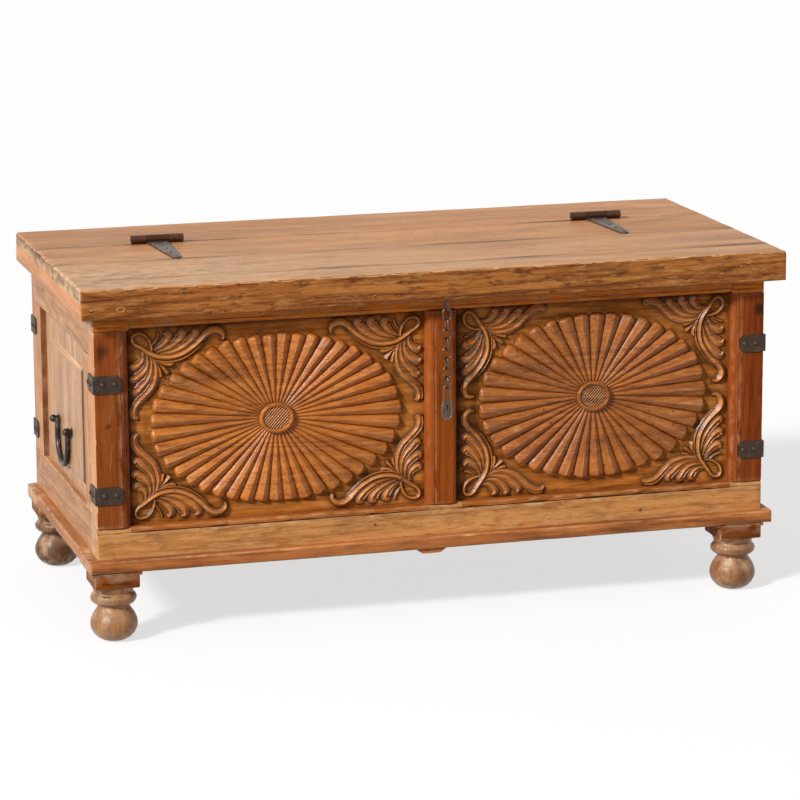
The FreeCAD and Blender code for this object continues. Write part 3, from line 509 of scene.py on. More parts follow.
def addLamp(name, kind, place, aim, settings):
    lamp = bpy.data.lights.new(name, kind)
    for key, value in settings.items():
        setattr(lamp, key, value)
    holder = bpy.data.objects.new(name, lamp)
    bpy.context.scene.collection.objects.link(holder)
    holder.location = place
    holder.rotation_euler = (Vector(aim) - Vector(place)).to_track_quat("-Z", "Y").to_euler()


def emptyTree(owner):
    # the tree is cleared, and tells apart the rays that see from those that light
    owner.use_nodes = True
    tree = owner.node_tree
    tree.nodes.clear()
    sums = mixer(tree)[3]
    ray = addNode(tree, "LightPath").outputs
    direct = sums(ray["Is Camera Ray"], ray["Is Glossy Ray"], "MAXIMUM")
    return tree, sums(direct, ray["Is Transmission Ray"], "MAXIMUM")


def buildStudio(spec):
    world = bpy.data.worlds.new("paleStudio")
    bpy.context.scene.world = world
    tree, seen = emptyTree(world)
    soft = addNode(tree, "Background", {"Color": spec["worldTone"], "Strength": spec["world"]})
    white = addNode(tree, "Background", {"Color": spec["white"], "Strength": 1.0})
    both = addNode(tree, "MixShader", {0: seen, 1: soft.outputs[0], 2: white.outputs[0]})
    tree.links.new(both.outputs[0], addNode(tree, "OutputWorld").inputs[0])
    addLamp("keyLamp", "SUN", spec["keyFrom"], (0, 0, 0), spec["key"])
    addLamp("nearLamp", "AREA", spec["nearFrom"], spec["nearAim"], spec["near"])
    floor = addShape(bpy.ops.mesh.primitive_plane_add, size=spec["floorSize"], location=(0, 0, 0))
    floor.name = "paleFloor"
    material = bpy.data.materials.new("paleFloor")
    tree, seen = emptyTree(material)
    over, sums = mixer(tree)[2:]
    matt = addNode(tree, "BsdfDiffuse", {"Color": over(seen, spec["floor"], spec["seenFloor"])})
    strength = sums(seen, spec["floorGlow"], "MULTIPLY")
    glow = addNode(tree, "Emission", {"Color": spec["white"], "Strength": strength})
    lit = addNode(tree, "AddShader", {0: matt.outputs[0], 1: glow.outputs[0]})
    tree.links.new(lit.outputs[0], addNode(tree, "OutputMaterial").inputs[0])
    floor.data.materials.append(material)


bpy.context.scene.view_settings.view_transform = "Standard"
placeCamera(viewSpec)
buildStudio(studioSpec)
print("camera and light set")

# lid and fixed rear strip
lidSpec = {
    "boards": (("lid_front_board", "lid"), ("lid_middle_board", "lid"), ("lid_back_board", "lid"),
               ("rear_top_board", "carcass")),
    "endRound": 5 * mm, "seamRound": 1.2 * mm, "step": 11 * mm, "boardWorn": (1.6 * mm, 45, 0.5 * mm),
    "frontEdge": -280 * mm, "seam": 0.75, "rearTone": 50 * mm,
    # the paler front left of the lid: strength, then where it ends and how far it fades in x and y
    "pale": 0.45, "paleX": (150 * mm, 600 * mm), "paleY": (50 * mm, 200 * mm),
    "rim": 8 * mm, "nose": 4 * mm, "arris": 2.5 * mm, "fasciaStep": (7 * mm, 5 * mm),
    "fasciaWorn": (2.2 * mm, 50, 0.7 * mm),
    # a split at the left end, an oval plug and nail heads on the fascia
    "split": (26 * mm, 574.6 * mm, 576 * mm), "splitProud": 0.3 * mm,
    "plug": (-535 * mm, 559 * mm), "plugRing": (6.4 * mm, 1.1 * mm), "plugShape": (1, 0.62, 0.9),
    "heads": ((0.519, 0.5705), (0.531, 0.5735), (-0.116, 0.556), (-0.583, 0.5585)), "head": 2.4 * mm,
    "lipRound": 2 * mm, "lipStep": 9 * mm, "lipWorn": (0.8 * mm, 60, 0.3 * mm),
}


def makeLip(spec, name, low, high, seed, axes):
    lip = addBlock(name, low, high)
    roundEdges(lip, lambda mid, run: any(runs(run, axis) for axis in axes), spec["lipRound"])
    cutEvery(lip, spec["lipStep"], 1)
    weather(lip, seed, *spec["lipWorn"])
    return lip


def buildBoard(spec, node, body, seed):
    low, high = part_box(node)
    board = addBlock(node.replace("_", "") + "Plank", low, high)

    def endEdge(mid, run):
        onTop = meets(mid.z, high.z)
        atBack = body == "carcass" and meets(mid.y, high.y) and (onTop or runs(run, 2))
        return abs(mid.x) > high.x - mm and onTop and runs(run, 1) or atBack

    roundEdges(board, endEdge, spec["endRound"], 4)
    roundEdges(board, lambda mid, run: runs(run, 0) and meets(mid.y, low.y) or meets(mid.y, high.y),
               spec["seamRound"], 2)
    cutEvery(board, spec["step"], 0, 1)
    levels = [low.y, high.y] if low.y > spec["frontEdge"] else [high.y]
    weather(board, seed, *spec["boardWorn"], seams=[(1, level, spec["seam"]) for level in levels])
    (endX, fadeX), (endY, fadeY) = spec["paleX"], spec["paleY"]
    for vertex, note in zip(board.data.vertices, board.data.attributes["wearAndHighlight"].data):
        pale = clamp((endX - vertex.co.x) / fadeX) * clamp((endY - vertex.co.y) / fadeY)
        note.value = min(1, note.value + spec["pale"] * pale)
    top = lidWood if high.y < spec["rearTone"] else rearLidWood
    finishPiece(board, body, "lid_wood", (top, lidEndWood), node,
                pick=lambda polygon: abs(polygon.normal.x) > 0.75)


def buildFascia(spec):
    low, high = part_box("lid_fascia")
    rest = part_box("lid_front_board")[0].z
    rim = low.y + spec["rim"]
    section = [(low.y, low.z), (high.y, low.z), (high.y, rest), (rim, rest), (rim, high.z), (low.y, high.z)]
    fascia = addMoulding("lidFascia", section, 0, low.x, high.x)
    roundEdges(fascia, lambda mid, run: meets(mid.y, low.y) and meets(mid.z, high.z), spec["nose"], 4)
    roundEdges(fascia, lambda mid, run: meets(mid.y, low.y) and (meets(mid.z, low.z) or runs(run, 2)),
               spec["arris"])
    cutEvery(fascia, spec["fasciaStep"][0], 0)
    cutEvery(fascia, spec["fasciaStep"][1], 2)
    weather(fascia, 11, *spec["fasciaWorn"])
    length, splitLow, splitHigh = spec["split"]
    split = addBlock("split", (low.x, low.y - spec["splitProud"], splitLow),
                     (low.x + length, low.y + mm, splitHigh))
    paintLayer(split, "dirtAndShade", 1.0)
    plugX, plugZ = spec["plug"]
    plug = addShape(bpy.ops.mesh.primitive_torus_add, location=(plugX, low.y, plugZ),
                    rotation=(math.pi / 2, 0, 0), major_radius=spec["plugRing"][0],
                    minor_radius=spec["plugRing"][1], major_segments=24, minor_segments=6)
    plug.scale = spec["plugShape"]
    paintLayer(settle(plug), "wearAndHighlight", 1.0)
    heads = []
    for x, z in spec["heads"]:
        head = settle(addShape(bpy.ops.mesh.primitive_uv_sphere_add, segments=10, ring_count=6,
                               radius=spec["head"], location=(x, low.y + mm, z)))
        # each nail head is painted pale on its upper half, a painted highlight, and dark on its lower half,
        # painted shade
        paintLayer(head, "wearAndHighlight", lambda at: 0.8 if at.z > z else 0.0)
        paintLayer(head, "dirtAndShade", lambda at: 0.0 if at.z > z else 0.9)
        heads.append(head)
    fascia = joinPieces("lidFascia", [fascia, split, plug] + heads)
    finishPiece(fascia, "lid", "fascia_wood", (fasciaWood, lidWood, lipWood), "lid_fascia",
                pick=lambda polygon: 1 if polygon.normal.z > 0.6 else 2 if abs(polygon.normal.x) > 0.8 else 0)


def buildLid(spec):
    for index, (node, body) in enumerate(spec["boards"]):
        buildBoard(spec, node, body, 3 + index)
    buildFascia(spec)
    for index, node in enumerate(("lid_left_lip", "lid_right_lip")):
        lip = makeLip(spec, node.replace("_", ""), *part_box(node), 21 + index, (1,))
        finishPiece(lip, "lid", "lip_wood", lipWood, node)
    low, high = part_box("rear_top_lips")
    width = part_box("lid_left_lip")[1].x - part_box("lid_left_lip")[0].x
    lips = [makeLip(spec, "rearLip", (start, low.y, low.z), (start + width, high.y, high.z), 25, (1, 2))
            for start in (low.x, high.x - width)]
    finishPiece(joinPieces("rearLips", lips), "carcass", "lip_wood", lipWood, "rear_top_lips")


buildLid(lidSpec)
print("lid boards planed and worn")

# front frame
frameSpec = {
    "bead": 13 * mm, "beadDrop": 0.4 * mm, "quirk": 1.4 * mm, "quirkDepth": 1.2 * mm, "edge": 1.5 * mm,
    "corner": 2 * mm, "step": 14 * mm, "postStep": 7 * mm, "stileStep": 5 * mm, "sillStep": 8 * mm,
    "return": 42 * mm, "stileShy": 5.5 * mm, "lesserBead": 6 * mm, "rubWidth": 0.6 * mm, "rubbed": 0.8,
    "postWorn": (0.9 * mm, 55, 0.35 * mm), "stileWorn": (0.7 * mm, 55, 0.3 * mm),
    "topWorn": (0.8 * mm, 55, 0.3 * mm), "sillWorn": (0.9 * mm, 50, 0.5 * mm),
    # the hollow under the top rail, then the steps above it: depth and height, in millimetres
    "hollow": 7 * mm, "hollowDeep": 10 * mm, "shoulder": 5 * mm,
    "steps": ((4.5, 7.6), (4.5, 9.4), (1.6, 9.4), (1.6, 14), (0, 15)),
    "railBead": 8 * mm, "sillDeep": 2.2 * mm, "quirkShadeStart": 1.4 * mm,
    # knot stains: x, z and reach in millimetres, and how dark
    "stains": {"left": ((-562, 486, 13, 0.85), (-566, 474, 8, 0.7), (-551, 360, 5, 1.2)),
               "right": ((566, 489, 13, 1.3), (571, 345, 5, 0.7))},
    # drying cracks down the left post: x and z in millimetres
    "crackWidth": 0.45 * mm,
    "cracks": (((-536, 480), (-541, 468), (-539, 452), (-544, 436), (-546, 420), (-549, 398), (-551, 366)),
               ((-548, 415), (-545, 398), (-547, 380), (-551, 364)), ((-547, 335), (-549, 312), (-551, 290))),
}


def roundArc(centre, radius, start, end, count=7):
    turns = [math.radians(start + (end - start) * i / (count - 1)) for i in range(count)]
    return [(centre[0] + radius * math.cos(t), centre[1] + radius * math.sin(t)) for t in turns]


def beadEdge(spec, face, inner, sign, bead):
    # a quirk and then the quarter round that ends at the inner edge
    start, deep = inner - sign * (bead + spec["quirk"]), face + spec["quirkDepth"]
    arc = roundArc((0, bead + spec["beadDrop"]), bead, -90, 0)
    return [(start, face), (start, deep), (inner - sign * bead, deep)] + [
        (inner - sign * (bead - u), face + v) for u, v in arc]


def rubEdge(spec, piece, level, face):
    for vertex, note in zip(piece.data.vertices, piece.data.attributes["wearAndHighlight"].data):
        if meets(vertex.co.x, level, spec["rubWidth"]) and vertex.co.y < face + mm:
            note.value = spec["rubbed"]


def addCracks(spec, face):
    paths = [[(x * mm, face, z * mm, 1) for x, z in path] for path in spec["cracks"]]
    cracks = meshOf(drawCurve("cracks", "POLY", paths, dimensions="3D", bevel_depth=spec["crackWidth"],
                              bevel_resolution=1))
    paintLayer(cracks, "wearAndHighlight", 1.0)
    paintLayer(cracks, "dirtAndShade", 0.0)
    return cracks


def buildFrontPost(spec, side, seed):
    node, name = "front_" + side + "_post", "front" + side + "Post"
    low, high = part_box(node)
    face, back = (corner.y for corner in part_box("front_top_rail"))
    sign = 1 if side == "left" else -1
    inner, outer = (high.x, low.x) if sign > 0 else (low.x, high.x)
    bead = spec["bead"]
    section = [(outer, face)] + beadEdge(spec, face, inner, sign, bead) + [(inner, back), (outer, back)]

    def outerCorner(mid, run):
        return runs(run, 2) and meets(mid.x, outer)

    leg = addMoulding(node, section, 2, low.z, high.z)
    roundEdges(leg, outerCorner, spec["corner"])
    cutEvery(leg, spec["postStep"], 2, 0)
    stile = addBlock("sideStile", (outer, back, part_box(side + "_bottom_rail")[1].z),
                     (outer + sign * spec["return"], high.y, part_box(side + "_top_rail")[0].z))
    roundEdges(stile, outerCorner, spec["edge"], 2)
    cutEvery(stile, spec["step"], 2)
    post = joinPieces(name, [leg, stile])
    stains = [((x * mm, face, z * mm), reach * mm, depth) for x, z, reach, depth in spec["stains"][side]]
    weather(post, seed, *spec["postWorn"], stains)
    rubEdge(spec, post, inner - sign * (bead + spec["quirk"]), face)
    if side == "left":
        post = joinPieces(name, [post, addCracks(spec, face)])

    # the outer side faces take the paler side-post wood: painted sheen on the same post
    def postFinish(polygon):
        if abs(polygon.normal.x) > 0.6 and meets(polygon.center.x, outer, 3 * mm):
            return 1
        return 2 if side == "right" and meets(polygon.center.x, inner, bead) else 0

    finishPiece(post, "carcass", "post_wood", (postWood[side], sidePostWood, beadWood), node, pick=postFinish)


def buildStile(spec):
    low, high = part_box("front_middle_stile")
    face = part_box("front_top_rail")[0].y
    bead, edge = spec["bead"], high.x - spec["stileShy"]
    left = beadEdge(spec, face, low.x, -1, bead)[::-1]
    right = beadEdge(spec, face, edge, 1, spec["lesserBead"])
    section = [(low.x, high.y)] + left + right + [(edge, high.y)]
    stile = addMoulding("frontMiddleStile", section, 2, low.z, high.z)
    cutEvery(stile, spec["postStep"], 2)
    cutEvery(stile, spec["stileStep"], 0)
    weather(stile, 35, *spec["stileWorn"], rub=0.4)
    rubEdge(spec, stile, low.x + bead + spec["quirk"], face)
    finishPiece(stile, "carcass", "post_wood", (stileWood, beadWood), "front_middle_stile",
                pick=lambda polygon: polygon.center.x < low.x + bead)


def buildTopRail(spec):
    low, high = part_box("front_top_rail")
    face, foot = low.y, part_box("front_middle_stile")[1].z
    radius = spec["hollow"]
    hollow = [(face + spec["hollowDeep"] - radius * math.sin(t), foot + radius - radius * math.cos(t))
              for t in [math.pi / 12 * i for i in range(7)]]
    steps = [(face + deep * mm, foot + up * mm) for deep, up in spec["steps"]]
    section = [(high.y, foot)] + hollow + steps + [(face, high.z), (high.y, high.z)]
    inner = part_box("front_left_post")[1].x
    parts = [addMoulding("frontTopRail", section, 0, inner, -inner)]
    for start, end in ((low.x, inner), (-inner, high.x)):
        shoulder = addBlock("shoulder", (start, face, low.z), (end, high.y, high.z))
        roundEdges(shoulder, lambda mid, run: meets(mid.z, low.z) and meets(mid.y, face)
                   or runs(run, 2) and abs(mid.x) > high.x - mm, spec["corner"])
        roundEdges(shoulder, lambda mid, run: runs(run, 1) and meets(mid.z, low.z)
                   and abs(mid.x) < abs(inner) + mm, spec["shoulder"], 4)
        parts.append(shoulder)
    rail = joinPieces("frontTopRail", parts)
    cutEvery(rail, spec["step"], 0)
    weather(rail, 37, *spec["topWorn"])
    # the end faces take the paler side wood: painted sheen
    finishPiece(rail, "carcass", "rail_wood", (topRailWood, sideWood), "front_top_rail",
                pick=lambda polygon: abs(polygon.normal.x) > 0.6)


def openingOf(side):
    stileLow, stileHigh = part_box("front_middle_stile")
    if side == "left":
        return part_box("front_left_post")[1].x, stileLow.x
    return stileHigh.x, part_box("front_right_post")[0].x


def buildSill(spec):
    openings = [openingOf(side) for side in ("left", "right")]
    low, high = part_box("front_bottom_rail")
    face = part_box("front_top_rail")[0].y
    radius, quirk, deep = spec["railBead"], spec["quirk"], face + spec["sillDeep"]
    ledge = high.z - radius - quirk
    crown = roundArc((face + radius + mm, high.z - radius), radius, 180, 90)
    section = [(high.y, low.z), (face, low.z), (face, ledge), (deep, ledge), (deep, high.z - radius)]
    section += crown + [(high.y, high.z)]
    sill = addMoulding("frontBottomRail", section, 0, low.x, high.x)
    roundEdges(sill, lambda mid, run: runs(run, 2) and mid.y < face + mm, spec["corner"])
    cutEvery(sill, spec["step"], 0)
    cutEvery(sill, spec["sillStep"], 2)
    weather(sill, 39, *spec["sillWorn"])

    def overOpening(at):
        return any(start < at.x < end for start, end in openings)

    # the quirk over the openings is darkened: painted shade
    for vertex, note in zip(sill.data.vertices, sill.data.attributes["dirtAndShade"].data):
        inQuirk = meets(vertex.co.z, ledge, quirk + mm) and vertex.co.y > face + spec["quirkShadeStart"]
        if overOpening(vertex.co) and inQuirk:
            note.value = 0.9

    # the end faces take the paler side wood, a painted sheen; the bead over the openings has its own wood
    def sillFinish(polygon):
        if abs(polygon.normal.x) > 0.6:
            return 1
        return 2 if polygon.center.z > ledge and overOpening(polygon.center) else 0

    finishPiece(sill, "carcass", "rail_wood", (railWood, sideWood, railBeadWood), "front_bottom_rail",
                pick=sillFinish)


for postSeed, postSide in enumerate(("left", "right")):
    buildFrontPost(frameSpec, postSide, 31 + postSeed)
buildStile(frameSpec)
buildTopRail(frameSpec)
buildSill(frameSpec)
print("front frame moulded")

# carved panels: sunburst, boss and corner sprays
carvingSpec = {
    "thickness": 16 * mm, "margin": 6 * mm, "step": 7 * mm, "rough": (0.7 * mm, 38),
    "reeds": {"left": 43, "right": 37}, "firstReed": {"left": 0.17, "right": 0.0},
    "burstHeight": 142 * mm, "sideGap": 36.5 * mm, "nudge": {"left": -3 * mm, "right": -2 * mm},
    "start": (5 * mm, 4.4 * mm), "crest": 11 * mm, "innerCrest": 0.8 * mm, "dome": 7.5 * mm, "tipFull": 0.55,
    "overlap": 1.02, "uneven": 1.2 * mm, "ripple": (0.3 * mm, 55),
    # cross section of a reed: across and up, in half widths and crests
    "ridge": ((0, 1), (0.6, 0.70), (0.87, 0.45), (1, 0)),
    "boss": (29.5 * mm, 26 * mm), "rim": 3.7 * mm, "rimProud": 5.5 * mm, "drum": 11 * mm, "hatch": 11,
    "hatchProud": 5.6 * mm,
    # the two ways of hatching: lean, half width and height
    "hatching": ((52, 0.9 * mm, 1.6 * mm), (-38, 0.6 * mm, 1.0 * mm)),
    # which strands carry a second ridge, and on which hand
    "fingers": {2: 1, 3: 1, 4: 1, 5: -1, 6: -1, 7: -1, 8: -1},
    "slim": 0.66, "full": 0.9, "relief": 1.02, "blade": 1.08, "bladeRelief": 0.5, "lift": 1.6 * mm,
    "squeeze": 0.955, "ridgeOff": 0.98, "ridgeHalf": 0.42,
    # cross section of a strand: across and up, in half widths
    "profile": ((-1, 0), (-0.55, 0.40), (-0.16, 0.86), (0, 1), (0.16, 0.86), (0.55, 0.40), (1, 0),
                (0.5, -0.3), (-0.5, -0.3)),
    # strands of the top left spray: right and down from the corner, and half width, in millimetres
    "strands": (
        ((41, 40, 3.4), (39.5, 30, 3.8), (34, 18.5, 4.2), (23.5, 11, 4.4), (12.5, 12, 4.4), (8.5, 19.5, 4.4),
         (13, 27.5, 4.6), (22, 33.5, 5), (33, 41, 5.4), (46, 48.5, 5.8), (62.7, 52, 6), (82.6, 50.5, 6),
         (98.5, 44, 6), (112.4, 34.5, 6.2), (122.4, 25.4, 6.8), (131.8, 15.8, 7.8), (143.3, 11, 8.4),
         (153.2, 13.6, 7.4), (158.8, 20.3, 5.8), (158.2, 28, 3.6)),
        ((39, 33, 1.8), (46, 25.5, 3), (50.5, 17.5, 3.6), (52.5, 11, 3.4)),
        ((43.8, 39.9, 2.4), (56.7, 32.7, 5), (65.5, 23.5, 7), (67.5, 15.5, 7.4), (62, 10.5, 5)),
        ((48.8, 43.1, 2.6), (68.7, 36.4, 5.2), (82.6, 27.4, 6.8), (90.5, 18.1, 7.6), (90.5, 12.5, 7),
         (85, 9.6, 4.8)),
        ((54.7, 46.7, 2.6), (78.6, 42.4, 5.2), (97.5, 32.3, 6.8), (109.4, 21.5, 7.4), (113.4, 13.6, 7.2),
         (108, 9.8, 4.8)),
        ((43.8, 54.5, 3.8), (47.4, 67.5, 5.6), (46.4, 83.1, 6.4), (39.8, 100.3, 6.6), (27.9, 113.3, 6.4),
         (16.4, 124.3, 6.4), (9.8, 135.6, 6.8), (9.5, 146.3, 6.2), (15, 150.5, 4.4)),
        ((25.9, 40.6, 2.8), (25.5, 53.4, 5), (19.5, 61.3, 6.4), (10.5, 65, 6.6), (6.5, 60, 4.6)),
        ((32.8, 46.9, 2.8), (33.4, 61.7, 5), (26.9, 74.3, 6.6), (17.5, 81.6, 7), (9.5, 84.9, 6.8),
         (6.5, 79.8, 4.6)),
        ((39.2, 50.3, 2.8), (40, 68, 5), (34.4, 85.3, 6.4), (23.4, 97.6, 7), (12.9, 106.6, 6.8),
         (7.5, 103.3, 4.6)),
        ((50.7, 57.5, 2), (61.7, 63, 4.2), (71, 64, 5.4), (75.5, 62.5, 4)),
        ((51.2, 60.5, 2), (60, 70, 4.6), (66, 77.5, 5.2)),
        ((50.2, 62.9, 2), (53.7, 73.8, 4.2), (55.2, 82.5, 4.8)),
        ((30, 45, 2.2), (46, 55.5, 2.8), (62.7, 59.3, 3.2), (83.5, 58, 3.2), (101, 51, 3), (115.5, 41, 2.8),
         (126, 31, 2.4), (136, 22, 1.8)),
    ),
}


def edgeLength(a, b, steps=2880):
    turns = [2 * math.pi * i / steps for i in range(steps + 1)]
    points = [(a * math.cos(t), b * math.sin(t)) for t in turns]
    run = [0.0]
    for p, q in zip(points, points[1:]):
        run.append(run[-1] + math.hypot(q[0] - p[0], q[1] - p[1]))
    return points, run


def cutReeds(spec, side, centre, halfWide, halfTall, ground, seed):
    luck = random.Random(seed)
    points, run = edgeLength(halfWide, halfTall)
    pitch = run[-1] / spec["reeds"][side]
    rippled, rippleScale = spec["ripple"]
    pattern = addShape(bpy.ops.mesh.primitive_uv_sphere_add, segments=24, ring_count=14, radius=1)
    reeds = []
    for i in range(spec["reeds"][side]):
        at = next(k for k, r in enumerate(run) if r >= (i + spec["firstReed"][side]) * pitch)
        tip = Vector((points[at][0], 0, points[at][1]))
        before, after = points[at - 2], points[(at + 2) % (len(points) - 1)]
        edge = Vector((after[0] - before[0], 0, after[1] - before[1])).normalized()
        out = tip.normalized()
        across = Vector((-out.z, 0, out.x))
        outer = pitch * abs(edge.dot(across)) / 2 * spec["overlap"] * luck.uniform(0.985, 1.015)
        start = 1 / math.sqrt((out.x / spec["start"][0]) ** 2 + (out.z / spec["start"][1]) ** 2)
        inner = outer * start / tip.length
        crest = spec["crest"] * luck.uniform(0.95, 1.05)
        dome = spec["dome"] * luck.uniform(0.85, 1.15)
        reach = tip.length - dome + luck.uniform(-1, 1) * spec["uneven"]
        reed = copyOf(pattern)
        wearAndHighlight, dirtAndShade = [], []
        for vertex in reed.data.vertices:
            # the lower half of the sphere is drawn out to the boss, the upper half is the domed tip
            high = vertex.co.z
            ring = Vector((vertex.co.x, vertex.co.y))
            turn = ring.normalized() if ring.length > 1e-6 else Vector((0, 0))
            if high <= 1e-4:
                t = max(0, 1 + math.asin(max(-1, high)) / (math.pi / 2)) ** 1.6
                wide = inner + (outer - inner) * t if t > 1e-4 else 0
                gone = start + (reach - start) * t
                fall = 1
            else:
                t, fall = 1, ring.length ** 0.9
                wide = outer * ring.length ** spec["tipFull"]
                gone = reach + dome * high
            tall = spec["innerCrest"] + (crest - spec["innerCrest"]) * t
            u = abs(turn.x)
            pairs = zip(spec["ridge"], spec["ridge"][1:])
            (a, tallA), (b, tallB) = next(pair for pair in pairs if u <= pair[1][0] + 1e-6)
            lift = tallA + (tallB - tallA) * (u - a) / (b - a) if turn.y >= 0 else 0
            proud = (lift * 1.15 * fall - 0.15) * tall
            place = out * gone + across * (turn.x * wide)
            place = Vector((centre[0] + place.x, ground - proud, centre[1] + place.z))
            place.y += rippled * t * noise.noise(place * rippleScale)
            vertex.co = place
            # the flanks darken into the grooves between reeds, groove grime and painted shade; a pale line
            # along each ridge is a rubbed arris and painted highlight
            dirtAndShade.append(clamp(0.9 * (1 - (turn.y * fall - 0.1) / 0.5)))
            arris = 0.45 if turn.y > 0 and u < 0.1 else 0
            rubbed = max(0, turn.y * fall - 0.6) * t * 1.1 * max(0, noise.noise(place * 40))
            wearAndHighlight.append(max(arris * max(0, 0.3 + noise.noise(place * 90)), rubbed))
        paintLayer(reed, "wearAndHighlight", wearAndHighlight)
        paintLayer(reed, "dirtAndShade", dirtAndShade)
        reeds.append(reed)
    bpy.data.objects.remove(pattern)
    return reeds


def carveBoss(spec, centre, ground, around=56, about=14):
    wide, tall = spec["boss"]
    rim = spec["rim"]
    ring = addShape(bpy.ops.mesh.primitive_torus_add, major_radius=1, minor_radius=1, major_segments=around,
                    minor_segments=about)
    for index, vertex in enumerate(ring.data.vertices):
        turn, roll = divmod(index, about)
        a, b = 2 * math.pi * turn / around, 2 * math.pi * roll / about
        vertex.co = (centre[0] + math.cos(a) * (wide - rim + rim * math.cos(b)),
                     ground - spec["rimProud"] - rim * 1.15 * math.sin(b),
                     centre[1] + math.sin(a) * (tall - rim + rim * math.cos(b)))
    drum = addShape(bpy.ops.mesh.primitive_cylinder_add, vertices=around, radius=1, depth=1,
                    rotation=(math.pi / 2, 0, 0), location=(centre[0], ground, centre[1]))
    drum.scale = (wide - rim, tall - rim, spec["drum"])
    settle(drum)
    rib = addShape(bpy.ops.mesh.primitive_cylinder_add, vertices=8, radius=1, depth=2)
    strips = []
    for lean, thick, proud in spec["hatching"]:
        turn = Vector((math.cos(math.radians(lean)), math.sin(math.radians(lean))))
        side = Vector((-turn.y, turn.x))
        for i in range(spec["hatch"]):
            off = (i + 0.5) / spec["hatch"] * 2 - 1
            half = math.sqrt(max(0, 1 - off * off)) * 0.97
            strip = copyOf(rib)
            for vertex in strip.data.vertices:
                u, v, w = vertex.co
                spot = side * off + turn * (w * half)
                beside = side * (u * thick)
                vertex.co = (centre[0] + spot.x * (wide - 2 * rim) + beside.x,
                             ground - spec["hatchProud"] - (0.4 + v) * proud,
                             centre[1] + spot.y * (tall - 2 * rim) + beside.y)
            # the upper half of each hatch strip is paler: painted highlight
            paintLayer(strip, "wearAndHighlight", lambda at: 0.3 if ground - at.y > 6.4 * mm else 0.0)
            strips.append(strip)
    bpy.data.objects.remove(rib)
    # ring and hatch strips darken towards the ground, and the drum under the hatching is dark all over:
    # painted shade
    for part in [ring] + strips:
        paintLayer(part, "dirtAndShade", lambda at: clamp(0.9 * (1 - (ground - at.y - 4.5 * mm) / (2 * mm))))
    paintLayer(drum, "dirtAndShade", 1.0)
    return [ring, drum] + strips


def sideRidge(spec, strand, hand):
    # a thinner strand along the hollow side of a finger
    ridge = []
    for i, (x, z, half) in enumerate(strand):
        a, b = strand[max(0, i - 1)], strand[min(len(strand) - 1, i + 1)]
        run = Vector((b[0] - a[0], b[1] - a[1])).normalized()
        off = hand * half * spec["ridgeOff"]
        ridge.append((x + run.y * off, z - run.x * off, half * spec["ridgeHalf"]))
    return ridge[:-1]


def layStrands(spec, strands, low, high, ground, swapped, relief):
    # every strand is a tapering ridge, drawn flat, mirrored into the four corners and stood on the ground
    outline = [(across * mm, up * mm, 0, 1) for across, up in spec["profile"]]
    profile = drawCurve("sprayProfile", "POLY", [outline], closed=True, dimensions="2D")
    paths = []
    for right in (0, 1):
        for top in (0, 1):
            for strand in strands:
                path = []
                for across, down, half in strand:
                    if swapped:
                        across, down = down, across * spec["squeeze"]
                    x = high[0] - across * mm if right else low[0] + across * mm
                    z = high[1] - down * mm if top else low[1] + down * mm
                    path.append((x, z, 0, half))
                paths.append(path)
    spray = meshOf(drawCurve("spray", "BEZIER", paths, dimensions="2D", fill_mode="NONE", bevel_mode="OBJECT",
                             bevel_object=profile, resolution_u=5, use_fill_caps=True))
    bpy.data.objects.remove(profile)
    for vertex in spray.data.vertices:
        x, z, up = vertex.co
        vertex.co = (x, ground - up * relief - spec["lift"], z)
    return spray


def carveSprays(spec, low, high, ground, swapped):
    # fingers are broad low blades with a thin ridge along each
    fingers, strands = spec["fingers"], spec["strands"]
    ridges = []
    for i, strand in enumerate(strands):
        share = spec["slim"] if i in fingers else spec["full"]
        ridges.append([(x, z, half * share) for x, z, half in strand])
    ridges += [sideRidge(spec, strands[i], fingers[i]) for i in fingers]
    blades = [[(x, z, half * spec["blade"]) for x, z, half in strands[i]] for i in fingers]
    crests = layStrands(spec, ridges, low, high, ground, swapped, spec["relief"])
    # strands darken towards the ground, painted shade at their bases, and their crests are paler, a painted
    # highlight; the low blades darken near the ground too
    paintLayer(crests, "dirtAndShade", lambda at: clamp(0.95 * (1 - (ground - at.y - 2.2 * mm) / (2.6 * mm))))
    paintLayer(crests, "wearAndHighlight", lambda at: clamp((ground - at.y) / (9 * mm) - 0.55, 0.7))
    flats = layStrands(spec, blades, low, high, ground, swapped, spec["bladeRelief"])
    paintLayer(flats, "dirtAndShade", lambda at: clamp(0.95 - (ground - at.y - spec["lift"]) / (2.7 * mm)))
    return joinPieces("spray", [crests, flats])


